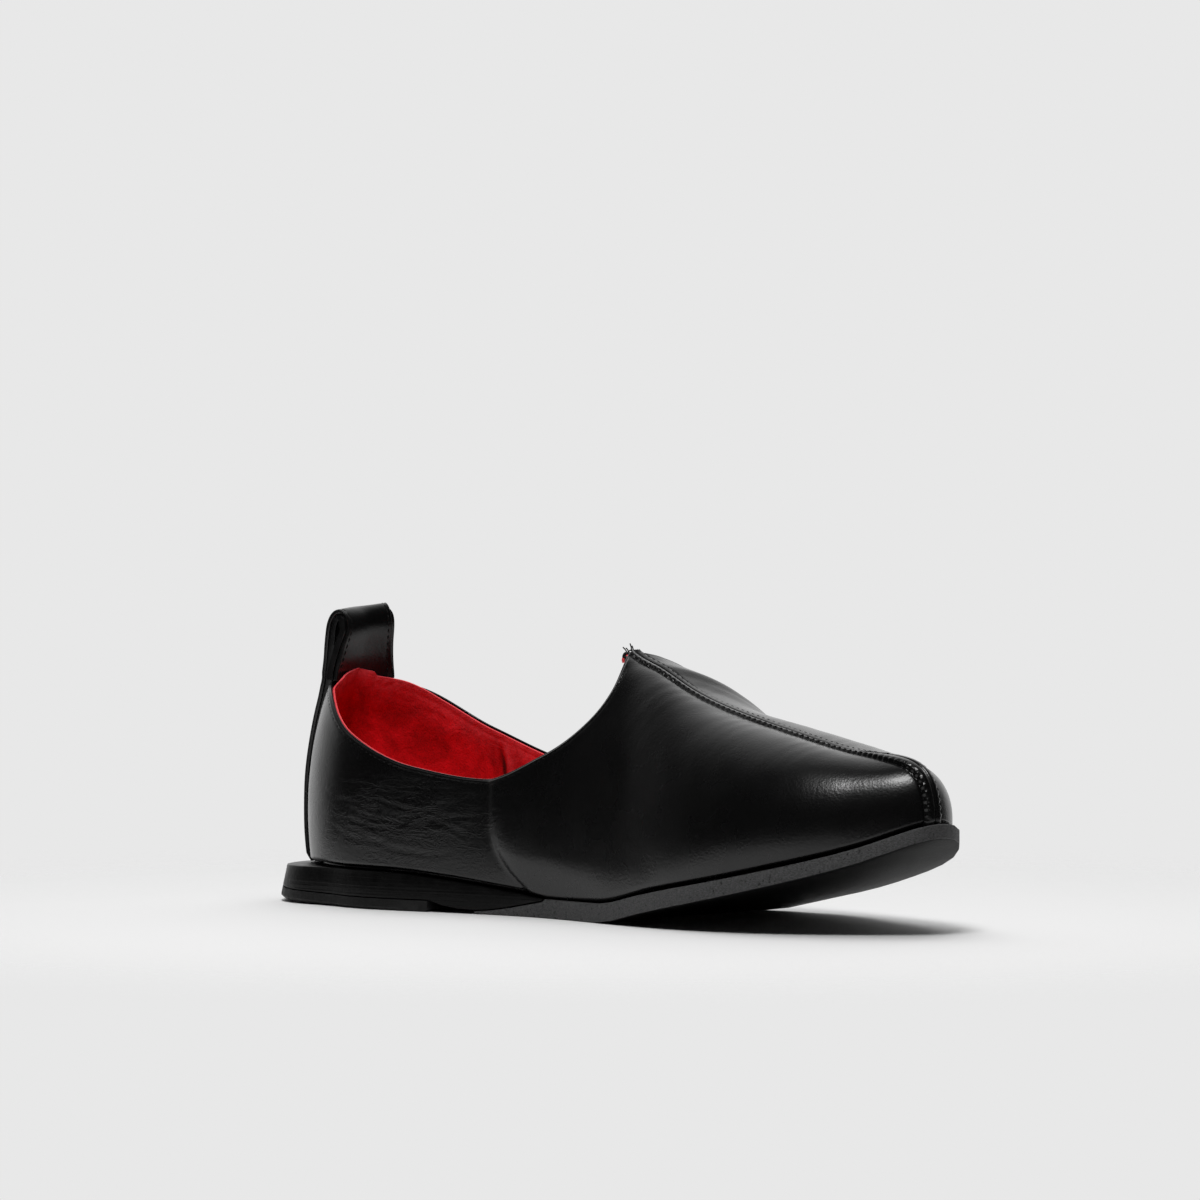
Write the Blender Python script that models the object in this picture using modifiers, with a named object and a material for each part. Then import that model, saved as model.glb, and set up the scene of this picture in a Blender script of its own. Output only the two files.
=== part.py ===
"""A left khussa: a slip-on leather shoe whose upper is two halves joined along the ridge of the foot.

The shoe stands on its sole, toe towards -Y, medial side towards -X, floor at z = 0.
Inside this script a place on the shoe is (ahead, across, up) in millimetres: ahead of the upper's
heel, across towards the medial side, and up from the floor. place() turns that into world metres.
"""

import bmesh
import bpy
import numpy as np

MM = 0.001
GAP = 0.3  # between pieces that touch

# ---- driving dimensions, millimetres
LAST_LENGTH = 264.0  # heel to toe along the upper's lower edge
BALL_WIDTH = 85.5  # across the upper's lower edge at the ball
INSTEP_HEIGHT = 83.5  # the peak of the throat above the floor
COLLAR_BACK_HEIGHT = 73.0  # the collar above the heel's back
HEEL_HEIGHT = 11.7  # top of the seat behind
TOE_RISE = 34.0  # top of the sole at the toe
UPPER_WALL = 2.0  # leather and lining together
TUCK_INSET = 1.4  # how far the upper's lower edge rolls in under it
TUCK_RISE = 1.8  # height over which it rolls in

SOLE_THICKNESS = 6.0
TOE_THICKNESS = 4.8  # the sole thins towards the toe
SOLE_MARGIN = 2.4  # how far the forefoot sole stands out from the upper
WAIST_MARGIN = 1.0
INSOLE_THICKNESS = 2.0

LIFT_THICKNESS = 3.6
LIFT_ROCKER = 1.4  # how far the lift's rear edge is raised off the floor
LIFT_FLAT = 24.0  # length of the lift's flat spot, behind its front face
LIFT_CHAMFER = 1.1  # bevel round its lower edge
BREAST_AHEAD = 75.0  # front face of the heel lift
OUTSOLE_START = 92.0  # where the outsole's thin end starts under the wedge
WEDGE_END = 120.0  # where the wedge has run out to nothing
WEDGE_EDGE = 0.5  # thickness left at the wedge's front edge

BLOCK_BACK = 5.2  # how far the heel block reaches behind the upper
BLOCK_HALF_WIDTH = 32.5
BLOCK_ROUND = 28.0  # length of its rounded rear
BLOCK_SQUARENESS = 2.2  # 2 is an ellipse, and more is squarer
BLOCK_FLARE = 1.9  # how much further out it reaches at the floor than at the seat
BLOCK_SIDE_END = 46.0  # where its side has come in to the upper's edge

STRAP_WIDTH = 20.8
STRAP_THICKNESS = 2.4
STRAP_GAP = 0.6  # the upper's curve is made of flats, so the strap needs a little more room
LOOP_CURL = 0.2  # how much of the heel's curve is left at the loop's top
LOOP_SPREAD = 0.4  # how much wider the loop is at its foot in front

# ---- the upper's lower edge, toe to heel: (place, share of length, share of ball width)
TIP = ("tip", 1.000, 0.100)
BACK = ("back", -0.004, 0.024)
MEDIAL_OUTLINE = (
    TIP,
    ("toe", 0.939, 0.288),
    ("forefoot", 0.850, 0.428),
    ("ball", 0.700, 0.475),
    ("waist", 0.432, 0.340),
    ("heel", 0.119, 0.404),
    BACK,
)
LATERAL_OUTLINE = (
    TIP,
    ("toe", 0.930, -0.215),
    ("forefoot", 0.828, -0.350),
    ("ball", 0.658, -0.521),
    ("waist", 0.420, -0.410),
    ("heel", 0.120, -0.330),
    BACK,
)

# ---- top of the sole, on which the upper stands: (place, share of length, height)
SOLE_TOP = (
    ("back", 0.000, HEEL_HEIGHT),
    ("seat", 0.130, HEEL_HEIGHT + 0.5),
    ("breast", 0.220, HEEL_HEIGHT + 0.3),
    ("shank", 0.300, HEEL_HEIGHT - 1.3),
    ("waist", 0.390, 7.8),
    ("flat start", 0.465, SOLE_THICKNESS),
    ("flat end", 0.550, SOLE_THICKNESS),
    ("ball", 0.660, 10.9),
    ("forefoot", 0.820, 18.8),
    ("toe", 0.930, 26.4),
    ("tip", 1.000, TOE_RISE),
)
# ---- underside of the wedge in the waist: (place, ahead, height)
WEDGE_UNDERSIDE = (
    ("breast", BREAST_AHEAD, LIFT_THICKNESS + GAP),
    ("behind the arch", 80.0, 2.4),
    ("arch", 86.0, 1.5),
    ("scarf start", OUTSOLE_START, 1.3),
    ("scarf", 104.0, 2.6),
    ("scarf end", WEDGE_END, SOLE_THICKNESS - WEDGE_EDGE),
)

# ---- the upper's middle line: the ridge from the toe to the peak of the throat, then the front of the
# leg, which the collar cuts away: (place, share of length, height)
PEAK_AHEAD = 0.512  # share of the length where the throat peaks
TOP_LINE = (
    ("toe", 0.916, 54.3),
    ("toe box", 0.855, 56.4),
    ("vamp", 0.795, 59.8),
    ("ball", 0.714, 64.8),
    ("waist", 0.655, 69.0),
    ("instep", 0.600, 74.2),
    ("tongue", 0.552, 79.8),
    ("peak", PEAK_AHEAD, INSTEP_HEIGHT),
    ("ankle", 0.476, 91.8),
    ("shin", 0.422, 98.0),
    ("leg", 0.331, 105.8),
    ("heel", 0.150, 115.5),
)
PEAK_COLUMN = 0.405  # share of the outline whose column ends at the peak
# The collar, from the peak to the heel: (place, share of collar, height)
COLLAR = (
    ("peak", 0.00, INSTEP_HEIGHT),
    ("shoulder", 0.04, 72.3),
    ("throat", 0.10, 62.6),
    ("slope", 0.22, 50.5),
    ("low", 0.36, 42.6),
    ("quarter", 0.52, 45.9),
    ("rise", 0.68, 55.1),
    ("back curve", 0.84, 68.2),
    ("back", 1.00, COLLAR_BACK_HEIGHT),
)
# How the wall's columns bend: (place, share of the outline, outward lean at the base in degrees,
# lower handle as a share of the height, upper handle as a share of the way to the middle)
BEND = (
    ("toe", 0.00, -4.0, 0.80, 0.78),
    ("forefoot", 0.20, 14.0, 0.60, 0.56),
    ("peak", PEAK_COLUMN, 4.4, 0.405, 0.48),
    ("quarter", 0.58, 5.6, 0.433, 0.341),
    ("back curve", 0.78, 7.1, 0.710, 0.384),
    ("heel", 1.00, 9.1, 0.525, 0.284),
)
# The outer half falls from the ridge at once, like a tent: (place, share of the outline, drop of the
# upper handle)
OUTER_CROWN = (
    ("toe", 0.00, 0.0),
    ("forefoot", 0.12, 1.8),
    ("little toe", 0.20, 3.2),
    ("joint", 0.27, 7.4),
    ("instep", 0.33, 10.0),
    ("throat", 0.38, 5.8),
    ("peak", PEAK_COLUMN, 3.2),
    ("collar", 0.45, 1.6),
    ("heel", 1.00, 0.0),
)
# The loop's middle surface: (place, forward of the strap, above the collar)
LOOP = (
    ("foot behind", 0.0, 0.0),
    ("rise", 1.5, 9.4),
    ("back", 2.7, 15.4),
    ("bend", 4.8, 19.4),
    ("top", 8.1, 20.8),
    ("over", 11.1, 18.9),
    ("front", 12.0, 15.4),
    ("fall", 11.0, 10.4),
    ("narrowing", 8.3, 5.4),
    ("foot in front", 4.4, 1.0),
)

VAMP_COLUMNS = 24
QUARTER_COLUMNS = 34
COLUMN_CROWDING = 0.25  # how evenly the quarter's columns are spaced, from crowded at the throat to even
HEEL_COLUMNS = 9  # how many of each side's last columns the strap lies over
WALL_ROWS = 13
RUNG_POINTS = 9


# ---- curves
def spline(stations, values, level_ends=False):
    """A smooth curve through the values. level_ends keeps its ends level; otherwise they run straight."""
    x, y = np.array(stations, float), np.array(values, float)
    step, count = np.diff(x), len(x)
    slope = np.diff(y) / step
    matrix, sides = np.zeros((count, count)), np.zeros(count)
    for i in range(1, count - 1):
        matrix[i, i - 1 : i + 2] = step[i - 1], 2 * (step[i - 1] + step[i]), step[i]
        sides[i] = 6 * (slope[i] - slope[i - 1])
    matrix[0, 0] = matrix[-1, -1] = 1.0
    if level_ends:
        matrix[0, :2] = 2 * step[0], step[0]
        matrix[-1, -2:] = step[-1], 2 * step[-1]
        sides[0], sides[-1] = 6 * slope[0], -6 * slope[-1]
    bend = np.linalg.solve(matrix, sides)

    def curve(at):
        at = np.asarray(at, float)
        i = np.clip(np.searchsorted(x, at, side="right") - 1, 0, count - 2)
        before, after, h = at - x[i], x[i + 1] - at, step[i]
        straight = (y[i] * after + y[i + 1] * before) / h
        sag = bend[i] * (after**3 / h - after * h) + bend[i + 1] * (before**3 / h - before * h)
        return straight + sag / 6

    return curve


def steady(stations, values):
    """A curve through the values that never swings past them."""
    x, y = np.array(stations, float), np.array(values, float)
    step = np.diff(x)
    slope = np.diff(y) / step
    tangent = np.zeros(len(x))
    tangent[0], tangent[-1] = slope[0], slope[-1]
    for i in range(1, len(x) - 1):
        if slope[i - 1] * slope[i] > 0:
            near, far = 2 * step[i] + step[i - 1], step[i] + 2 * step[i - 1]
            tangent[i] = (near + far) / (near / slope[i - 1] + far / slope[i])

    def curve(at):
        at = np.asarray(at, float)
        i = np.clip(np.searchsorted(x, at, side="right") - 1, 0, len(x) - 2)
        h = step[i]
        t = (at - x[i]) / h
        level = y[i] * (2 * t**3 - 3 * t**2 + 1) + y[i + 1] * (3 * t**2 - 2 * t**3)
        return level + h * (tangent[i] * (t**3 - 2 * t**2 + t) + tangent[i + 1] * (t**3 - t**2))

    return curve


def column(table, index, scale=1.0):
    return [row[index] * scale for row in table]


def blend(start, end, at):
    """0 before start, 1 after end, smooth between."""
    t = np.clip((np.asarray(at, float) - start) / (end - start), 0.0, 1.0)
    return t * t * (3 - 2 * t)


# ---- outlines
def outline_of(table):
    """Half of the upper's lower edge, from toe to heel, as a function of the share of its run."""
    points = np.array([row[1:] for row in table]) * (LAST_LENGTH, BALL_WIDTH)
    chords = np.hypot(*np.diff(points, axis=0).T) ** 0.75
    stations = np.concatenate([[0.0], np.cumsum(chords)])
    ahead = spline(stations, points[:, 0], level_ends=True)
    across = spline(stations, points[:, 1])
    fine = np.linspace(0.0, stations[-1], 400)
    steps = np.hypot(np.diff(ahead(fine)), np.diff(across(fine)))
    run = np.concatenate([[0.0], np.cumsum(steps)])
    side = np.sign(points[3, 1])
    nudge = stations[-1] * 1e-4

    def outline(share, margin=0.0):
        """Points (ahead, across), moved outwards by the margin."""
        at = np.interp(np.asarray(share, float) * run[-1], run, fine)
        low, high = np.clip(at - nudge, 0, fine[-1]), np.clip(at + nudge, 0, fine[-1])
        heading = np.stack([ahead(high) - ahead(low), across(high) - across(low)], axis=-1)
        heading /= np.linalg.norm(heading, axis=-1, keepdims=True)
        outward = side * np.stack([heading[..., 1], -heading[..., 0]], axis=-1)
        edge = np.stack([ahead(at), across(at)], axis=-1)
        return edge + outward * np.asarray(margin, float)[..., None]

    outline.side = side
    return outline


medial = outline_of(MEDIAL_OUTLINE)
lateral = outline_of(LATERAL_OUTLINE)
HALVES = (medial, lateral)
HEEL_MIDDLE = BACK[2] * BALL_WIDTH

sole_top = steady(column(SOLE_TOP, 1, LAST_LENGTH), column(SOLE_TOP, 2))
wedge_underside = spline(column(WEDGE_UNDERSIDE, 1), column(WEDGE_UNDERSIDE, 2))


def across_at(outline, ahead, margin):
    """How far across the outline lies at a distance ahead of the heel, away from its rounded ends."""
    edge = outline(np.linspace(0.06, 0.94, 300), margin)
    return np.interp(ahead, edge[::-1, 0], edge[::-1, 1])


def margin_at(ahead):
    """How far the sole stands out from the upper."""
    return WAIST_MARGIN + (SOLE_MARGIN - WAIST_MARGIN) * blend(95.0, 150.0, ahead)


def rocker(ahead):
    """How far the heel lift's underside is off the floor."""
    flat_start = BREAST_AHEAD - LIFT_FLAT
    run = np.maximum(flat_start - np.asarray(ahead, float), 0.0) / (flat_start + BLOCK_BACK)
    return LIFT_ROCKER * run**2


# ---- placing
SOLE_ENDS = (-BLOCK_BACK - BLOCK_FLARE, LAST_LENGTH + SOLE_MARGIN)
MIDDLE_AHEAD = sum(SOLE_ENDS) / 2
WIDEST = [outline(np.linspace(0.1, 0.9, 200), SOLE_MARGIN)[:, 1] for outline in HALVES]
MIDDLE_ACROSS = (WIDEST[0].max() + WIDEST[1].min()) / 2


def place(points):
    """World metres from places (ahead, across, up)."""
    points = np.asarray(points, float)
    ahead, across, up = points[..., 0], points[..., 1], points[..., 2]
    return np.stack([(MIDDLE_ACROSS - across) * MM, (MIDDLE_AHEAD - ahead) * MM, up * MM], axis=-1)


# ---- building
def clear_scene():
    for obj in list(bpy.data.objects):
        bpy.data.objects.remove(obj, do_unlink=True)


def material(name, colour, roughness, metallic=0.0):
    made = bpy.data.materials.new(name)
    made.use_nodes = True
    shader = made.node_tree.nodes["Principled BSDF"]
    shader.inputs["Base Color"].default_value = (*colour, 1.0)
    shader.inputs["Roughness"].default_value = roughness
    shader.inputs["Metallic"].default_value = metallic
    return made


def add_piece(name, points, faces, collection, finish):
    """A mesh object from world points and faces, shaded smooth, its faces turned outwards."""
    mesh = bpy.data.meshes.new(name)
    mesh.from_pydata([tuple(point) for point in points], [], faces)
    mesh.validate()
    shape = bmesh.new()
    shape.from_mesh(mesh)
    bmesh.ops.recalc_face_normals(shape, faces=shape.faces)
    shape.to_mesh(mesh)
    shape.free()
    mesh.shade_smooth()
    mesh.set_sharp_from_angle(angle=np.radians(40))
    mesh.materials.append(finish)
    piece = bpy.data.objects.new(name, mesh)
    collection.objects.link(piece)
    return piece


def grid_faces(rows, columns, start=0, flip=False):
    """Quads of a grid of points that are numbered row by row."""
    faces = []
    for i in range(rows - 1):
        for j in range(columns - 1):
            a = start + i * columns + j
            quad = (a, a + 1, a + 1 + columns, a + columns)
            faces.append(quad[::-1] if flip else quad)
    return faces


def slab(name, layers, collection, finish):
    """A closed body from grids of places, top to bottom, that have the same number of rungs and points.

    The first and last grids are its faces. Those between only shape its sides."""
    rungs, across = layers[0].shape[:2]
    rim = list(range(across)) + [i * across + across - 1 for i in range(1, rungs)]
    rim += [(rungs - 1) * across + j for j in range(across - 2, -1, -1)]
    rim += [i * across for i in range(rungs - 2, 0, -1)]
    flat = [layer.reshape(-1, 3) for layer in layers]
    points = [flat[0], *(layer[rim] for layer in flat[1:-1]), flat[-1]]
    starts = np.cumsum([0] + [len(part) for part in points])
    rings = [np.array(rim)]
    rings += [np.arange(start, start + len(rim)) for start in starts[1:-2]]
    rings += [starts[-2] + np.array(rim)]
    faces = grid_faces(rungs, across) + grid_faces(rungs, across, int(starts[-2]), flip=True)
    for upper_ring, lower_ring in zip(rings, rings[1:]):
        for i in range(len(rim)):
            pair = (i, (i + 1) % len(rim))
            corners = [upper_ring[pair[0]], lower_ring[pair[0]], lower_ring[pair[1]], upper_ring[pair[1]]]
            faces.append([int(corner) for corner in corners])
    return add_piece(name, place(np.concatenate(points)), faces, collection, finish)


def round_arrises(piece, width):
    bevel = piece.modifiers.new("rounded arrises", "BEVEL")
    bevel.width = width
    bevel.segments = 2
    bevel.limit_method = "ANGLE"
    bevel.angle_limit = np.radians(50)


def raised(plan, height):
    """Places from points (ahead, across) and a function of ahead that gives their height."""
    return np.concatenate([plan, height(plan[..., 0])[..., None]], axis=-1)


def straight_rung(start, end):
    share = np.linspace(0.0, 1.0, RUNG_POINTS)[:, None]
    return np.array(start) * (1 - share) + np.array(end) * share


def end_rung(share, margin):
    """The rung that runs round the toe or the heel on the outline itself."""
    half = (RUNG_POINTS - 1) // 2
    tip = 0.0 if share < 0.5 else 1.0
    steps = tip + (share - tip) * np.linspace(1.0, 0.0, half + 1)
    return np.concatenate([medial(steps, margin), lateral(steps[-2::-1], margin)])


def outline_rungs(shares, margin):
    """Rungs from the medial outline to the lateral one."""
    ends = zip(medial(shares, margin), lateral(shares, margin))
    return [straight_rung(a, b) for a, b in ends]


def side_rung(ahead, extra=0.0):
    """A rung across the heel block, waist or forefoot at a distance ahead of the heel."""
    ends = []
    for outline in HALVES:
        block = HEEL_MIDDLE + outline.side * (BLOCK_HALF_WIDTH + extra)
        upper_edge = across_at(outline, ahead, margin_at(ahead)) + outline.side * extra
        share = blend(BLOCK_ROUND - BLOCK_BACK, BLOCK_SIDE_END, ahead)
        ends.append((ahead, block * (1 - share) + upper_edge * share))
    return straight_rung(*ends)


def block_rungs(extra):
    """The rungs of the heel block's rounded rear, the first of which runs on its edge."""
    power = 2 / BLOCK_SQUARENESS

    def edge(degrees):
        turn = np.radians(abs(degrees))
        ahead = (BLOCK_ROUND + extra) * (1 - np.cos(turn) ** power) - BLOCK_BACK - extra
        reach = (BLOCK_HALF_WIDTH + extra) * np.sin(turn) ** power
        return ahead, HEEL_MIDDLE + np.sign(degrees) * reach

    rungs = [np.array([edge(degrees) for degrees in np.linspace(24.0, -24.0, RUNG_POINTS)])]
    for degrees in (34.0, 44.0, 54.0, 64.0, 74.0, 84.0):
        rungs.append(straight_rung(edge(degrees), edge(-degrees)))
    return rungs


# ---- sole pieces
def block_plan(aheads, level):
    """Plan of the heel block and of what follows it, at a level from 0 at the floor to 1 at the seat."""
    flare = BLOCK_FLARE * (1 - level)
    rungs = block_rungs(flare)
    rungs += [side_rung(ahead, flare * (1 - blend(40.0, 95.0, ahead))) for ahead in aheads]
    return np.array(rungs)


HEEL_RUNGS = [26.0, 34.0, 42.0, 50.0, 58.0, 66.0, BREAST_AHEAD]
WAIST_RUNGS = [80.0, 86.0, OUTSOLE_START, 98.0, 104.0, 110.0, 115.0, WEDGE_END]


def make_heel_lift(collection, finish):
    def sole_of_lift(inset, rise):
        plan = block_plan(HEEL_RUNGS, inset / BLOCK_FLARE)
        plan[-1, :, 0] -= inset
        return raised(plan, lambda ahead: rocker(ahead) + rise)

    top = raised(block_plan(HEEL_RUNGS, 0.25), lambda ahead: rocker(ahead) + LIFT_THICKNESS)
    layers = [top, sole_of_lift(0.0, LIFT_CHAMFER), sole_of_lift(LIFT_CHAMFER, 0.0)]
    slab("heel_lift", layers, collection, finish)


def make_heel_wedge(collection, finish):
    def underside(ahead):
        on_lift = rocker(ahead) + LIFT_THICKNESS + GAP
        return np.where(ahead <= BREAST_AHEAD, on_lift, wedge_underside(ahead))

    aheads = HEEL_RUNGS + WAIST_RUNGS
    low = raised(block_plan(aheads, 0.27), underside)
    high = raised(block_plan(aheads, 1.0), sole_top)
    round_arrises(slab("heel_wedge", [high, low], collection, finish), 0.4)


def make_outsole(collection, finish):
    plan = [end_rung(0.03, SOLE_MARGIN)]
    shares = [0.055, 0.08, 0.11, 0.14, 0.17, 0.20, 0.24, 0.28, 0.32, 0.36]
    plan += outline_rungs(np.array(shares), np.full(len(shares), SOLE_MARGIN))
    aheads = [156.0, 148.0, 140.0, 132.0, 126.0, WEDGE_END + 1.2, WEDGE_END + GAP, 114.0, 108.0]
    aheads += [102.0, 97.0, OUTSOLE_START]
    plan += [side_rung(ahead) for ahead in aheads]
    plan = np.array(plan)

    def top(ahead):
        under_wedge = wedge_underside(np.minimum(ahead, WEDGE_END)) - GAP
        return np.where(ahead <= WEDGE_END + GAP, under_wedge, sole_top(ahead))

    def bottom(ahead):
        thickness = SOLE_THICKNESS + (TOE_THICKNESS - SOLE_THICKNESS) * blend(150.0, LAST_LENGTH, ahead)
        return np.maximum(sole_top(ahead) - thickness, 0.0) * blend(120.0, 150.0, ahead)

    round_arrises(slab("outsole", [raised(plan, top), raised(plan, bottom)], collection, finish), 0.5)


def make_insole(collection, finish):
    inset = -(UPPER_WALL + TUCK_INSET + 0.6)
    shares = np.array([0.06, 0.10, 0.15, 0.20, 0.26, 0.32, 0.38, 0.44, 0.50])
    shares = np.append(shares, [0.56, 0.62, 0.68, 0.74, 0.80, 0.86, 0.91, 0.95])
    plan = [end_rung(0.03, inset), *outline_rungs(shares, np.full(len(shares), inset))]
    plan = np.array([*plan, end_rung(0.975, inset)])
    low = raised(plan, lambda ahead: sole_top(ahead) + GAP)
    slab("insole", [low + (0, 0, INSOLE_THICKNESS), low], collection, finish)


# ---- upper
middle_height = spline(column(TOP_LINE, 1, -1), column(TOP_LINE, 2))  # by minus the share of length
collar_height = steady(column(COLLAR, 1), column(COLLAR, 2))
base_lean = steady(column(BEND, 1), column(BEND, 2))
lower_handle = steady(column(BEND, 1), column(BEND, 3))
upper_handle = steady(column(BEND, 1), column(BEND, 4))
share_aimed_at = steady([0.0, PEAK_COLUMN, 1.0], [TOP_LINE[0][1], PEAK_AHEAD, TOP_LINE[-1][1]])
outer_crown = steady(column(OUTER_CROWN, 1), column(OUTER_CROWN, 2))


def seam_across(ahead):
    """The line from the middle of the heel to the tip, along which both halves meet."""
    return (BACK[2] + (TIP[2] - BACK[2]) * ahead / LAST_LENGTH) * BALL_WIDTH


def wall_columns(outline, shares):
    """The outside of one half of the upper: a column of places for each share of the outline.

    Each column stands on the outline and bends over to the middle line. The inner half meets it level
    and the outer half falls away from it. Behind the peak the collar cuts the column off."""
    base = outline(shares)
    foot = sole_top(base[:, 0]) + GAP + TUCK_RISE
    ahead = share_aimed_at(shares) * LAST_LENGTH
    inward = np.stack([ahead, seam_across(ahead)], axis=-1) - base
    reach = np.linalg.norm(inward, axis=1)
    inward /= reach[:, None]
    height = middle_height(-ahead / LAST_LENGTH) - foot
    lean = np.radians(base_lean(shares))
    low_arm = lower_handle(shares) * height
    high_arm = upper_handle(shares) * reach
    crown = outer_crown(shares) * (outline.side < 0)

    def bezier(t, second, third, last):
        second, third, last = second[:, None], third[:, None], last[:, None]
        return 3 * second * t * (1 - t) ** 2 + 3 * third * t**2 * (1 - t) + last * t**3

    def rise_at(t):
        return bezier(t, np.cos(lean) * low_arm, height - crown, height)

    fine = np.linspace(0.0, 1.0, 200)
    collar = collar_height(np.clip((shares - PEAK_COLUMN) / (1 - PEAK_COLUMN), 0, 1)) - foot
    cuts = [np.interp(level, rises, fine) for level, rises in zip(collar, rise_at(fine[None, :]))]
    cuts = np.where(shares > PEAK_COLUMN, cuts, 1.0)
    even, cuts = np.linspace(0.0, 1.0, WALL_ROWS), cuts[:, None]
    crowding = 1 - (1 - cuts) * blend(0.4, 0.9, cuts)  # near the peak, rows crowd up to the collar
    t = even * cuts / (crowding + even * (1 - crowding))
    run = bezier(t, -np.sin(lean) * low_arm, reach - high_arm, reach)
    rise = rise_at(t)
    turn = np.radians([90.0, 60.0, 30.0])
    run = np.concatenate([np.tile(TUCK_INSET * (1 - np.cos(turn)), (len(shares), 1)), run], axis=1)
    rise = np.concatenate([np.tile(-TUCK_RISE * np.sin(turn), (len(shares), 1)), rise], axis=1)
    plan = base[:, None, :] + inward[:, None, :] * run[..., None]
    return np.concatenate([plan, (foot[:, None] + rise)[..., None]], axis=-1)


def column_shares():
    vamp = np.linspace(0.0, PEAK_COLUMN, VAMP_COLUMNS)
    spread = np.linspace(0.0, 1.0, QUARTER_COLUMNS + 1)[1:]
    quarter = np.hypot(spread, COLUMN_CROWDING) - COLUMN_CROWDING
    quarter /= quarter[-1]
    return np.concatenate([vamp, PEAK_COLUMN + (1 - PEAK_COLUMN) * quarter])


SHARES = column_shares()
HALF_WALLS = [wall_columns(outline, SHARES) for outline in HALVES]


def make_upper(collection, finish):
    """Both halves as one open surface, joined on the ridge, the toe and the back seam, with a wall."""
    halves = [place(wall) for wall in HALF_WALLS]
    points, numbers, faces = [], {}, []

    def number(point):
        key = tuple(np.round(point / MM, 3))
        if key not in numbers:
            numbers[key] = len(points)
            points.append(point)
        return numbers[key]

    for half, turn in zip(halves, (False, True)):
        for i in range(len(SHARES) - 1):
            for j in range(half.shape[1] - 1):
                corners = (half[i, j], half[i + 1, j], half[i + 1, j + 1], half[i, j + 1])
                quad = [number(corner) for corner in corners]
                faces.append(quad[::-1] if turn else quad)
    upper = add_piece("upper", points, faces, collection, finish)
    wall = upper.modifiers.new("wall", "SOLIDIFY")
    wall.thickness = UPPER_WALL * MM
    wall.offset = -1.0
    wall.use_even_offset = True
    return upper


# ---- strap
def heel_section(height):
    """The upper's outside round the heel at a height: (ahead, across) points, lateral to medial."""
    sides = []
    for wall in HALF_WALLS:
        at = [[np.interp(height, c[:, 2], c[:, i]) for i in (0, 1)] for c in wall[-HEEL_COLUMNS:]]
        sides.append(np.array(at))
    return np.concatenate([sides[1], sides[0][-2::-1]])


def band_on_heel(height, widths):
    """Places and outward headings on the heel at distances to either side of its middle."""
    section = heel_section(height)
    run = np.concatenate([[0.0], np.cumsum(np.hypot(*np.diff(section, axis=0).T))])
    run -= run[len(section) // 2]
    spots = np.stack([np.interp(widths, run, section[:, i]) for i in (0, 1)], axis=-1)
    wide = np.stack([np.interp(w, run, section[:, i]) for w in (widths - 4, widths + 4) for i in (0, 1)])
    along = (wide[2:] - wide[:2]).T
    along /= np.linalg.norm(along, axis=1, keepdims=True)
    return spots, np.stack([-along[:, 1], along[:, 0]], axis=-1)


def loop_path():
    """The loop's middle surface as (forward of the strap, above the collar), its outward heading and its
    width as a share of the strap's."""
    stations = np.concatenate([[0.0], np.cumsum(np.hypot(*np.diff([row[1:] for row in LOOP], axis=0).T))])
    forward, up = spline(stations, column(LOOP, 1)), spline(stations, column(LOOP, 2))
    at = np.linspace(0.0, stations[-1], 30)
    heading = np.stack([forward(at + 0.01) - forward(at - 0.01), up(at + 0.01) - up(at - 0.01)], axis=-1)
    heading /= np.linalg.norm(heading, axis=1, keepdims=True)
    outward = np.stack([-heading[:, 1], heading[:, 0]], axis=-1)
    spread = 1 + LOOP_SPREAD * blend(stations[6], stations[-1], at)
    return np.stack([forward(at), up(at)], axis=-1), outward, spread


def make_back_strap(collection, finish):
    """One band: up the back of the heel, over in a standing loop and down in front onto the collar."""
    widths = np.linspace(-0.5, 0.5, RUNG_POINTS) * STRAP_WIDTH
    half = STRAP_THICKNESS / 2
    outside, inside = [], []

    def add_row(spots, headings, forward, up, facing):
        middle = spots + headings * (STRAP_GAP + half) + np.array([forward, 0.0])
        for rows, side in ((outside, half), (inside, -half)):
            plan = middle + headings * facing[0] * side
            rows.append(np.column_stack([plan, up + facing[1] * side + np.zeros(len(plan))]))

    foot = sole_top(0.0) + 2 * GAP
    for height in np.linspace(foot, COLLAR_BACK_HEIGHT, 12)[:-1]:
        add_row(*band_on_heel(height, widths), 0.0, height, (1.0, 0.0))
    loop_top = max(column(LOOP, 2))
    for (forward, above), (turned, lifted), spread in zip(*loop_path()):
        spots, headings = band_on_heel(COLLAR_BACK_HEIGHT, widths * spread)
        curl = 1 - (1 - LOOP_CURL) * blend(0.0, loop_top / 2, above)
        back = spots[RUNG_POINTS // 2, 0]
        curled = np.column_stack([back + (spots[:, 0] - back) * curl, spots[:, 1]])
        turning = headings * (curl, 1.0)
        turning /= np.linalg.norm(turning, axis=1, keepdims=True)
        add_row(curled, turning, forward, COLLAR_BACK_HEIGHT + above, (-turned, lifted))
    rim = np.interp(spots[:, 1], *collar_rim())
    for rows in (outside, inside):
        rows[-1][:, 2] = rim + STRAP_GAP
    slab("back_strap", [np.array(outside), np.array(inside)], collection, finish)


def collar_rim():
    """Heights of the collar round the heel against how far across they are."""
    medial_rim, lateral_rim = (wall[-HEEL_COLUMNS:, -1] for wall in HALF_WALLS)
    rim = np.concatenate([lateral_rim, medial_rim[-2::-1]])
    return rim[:, 1], rim[:, 2]


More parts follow.
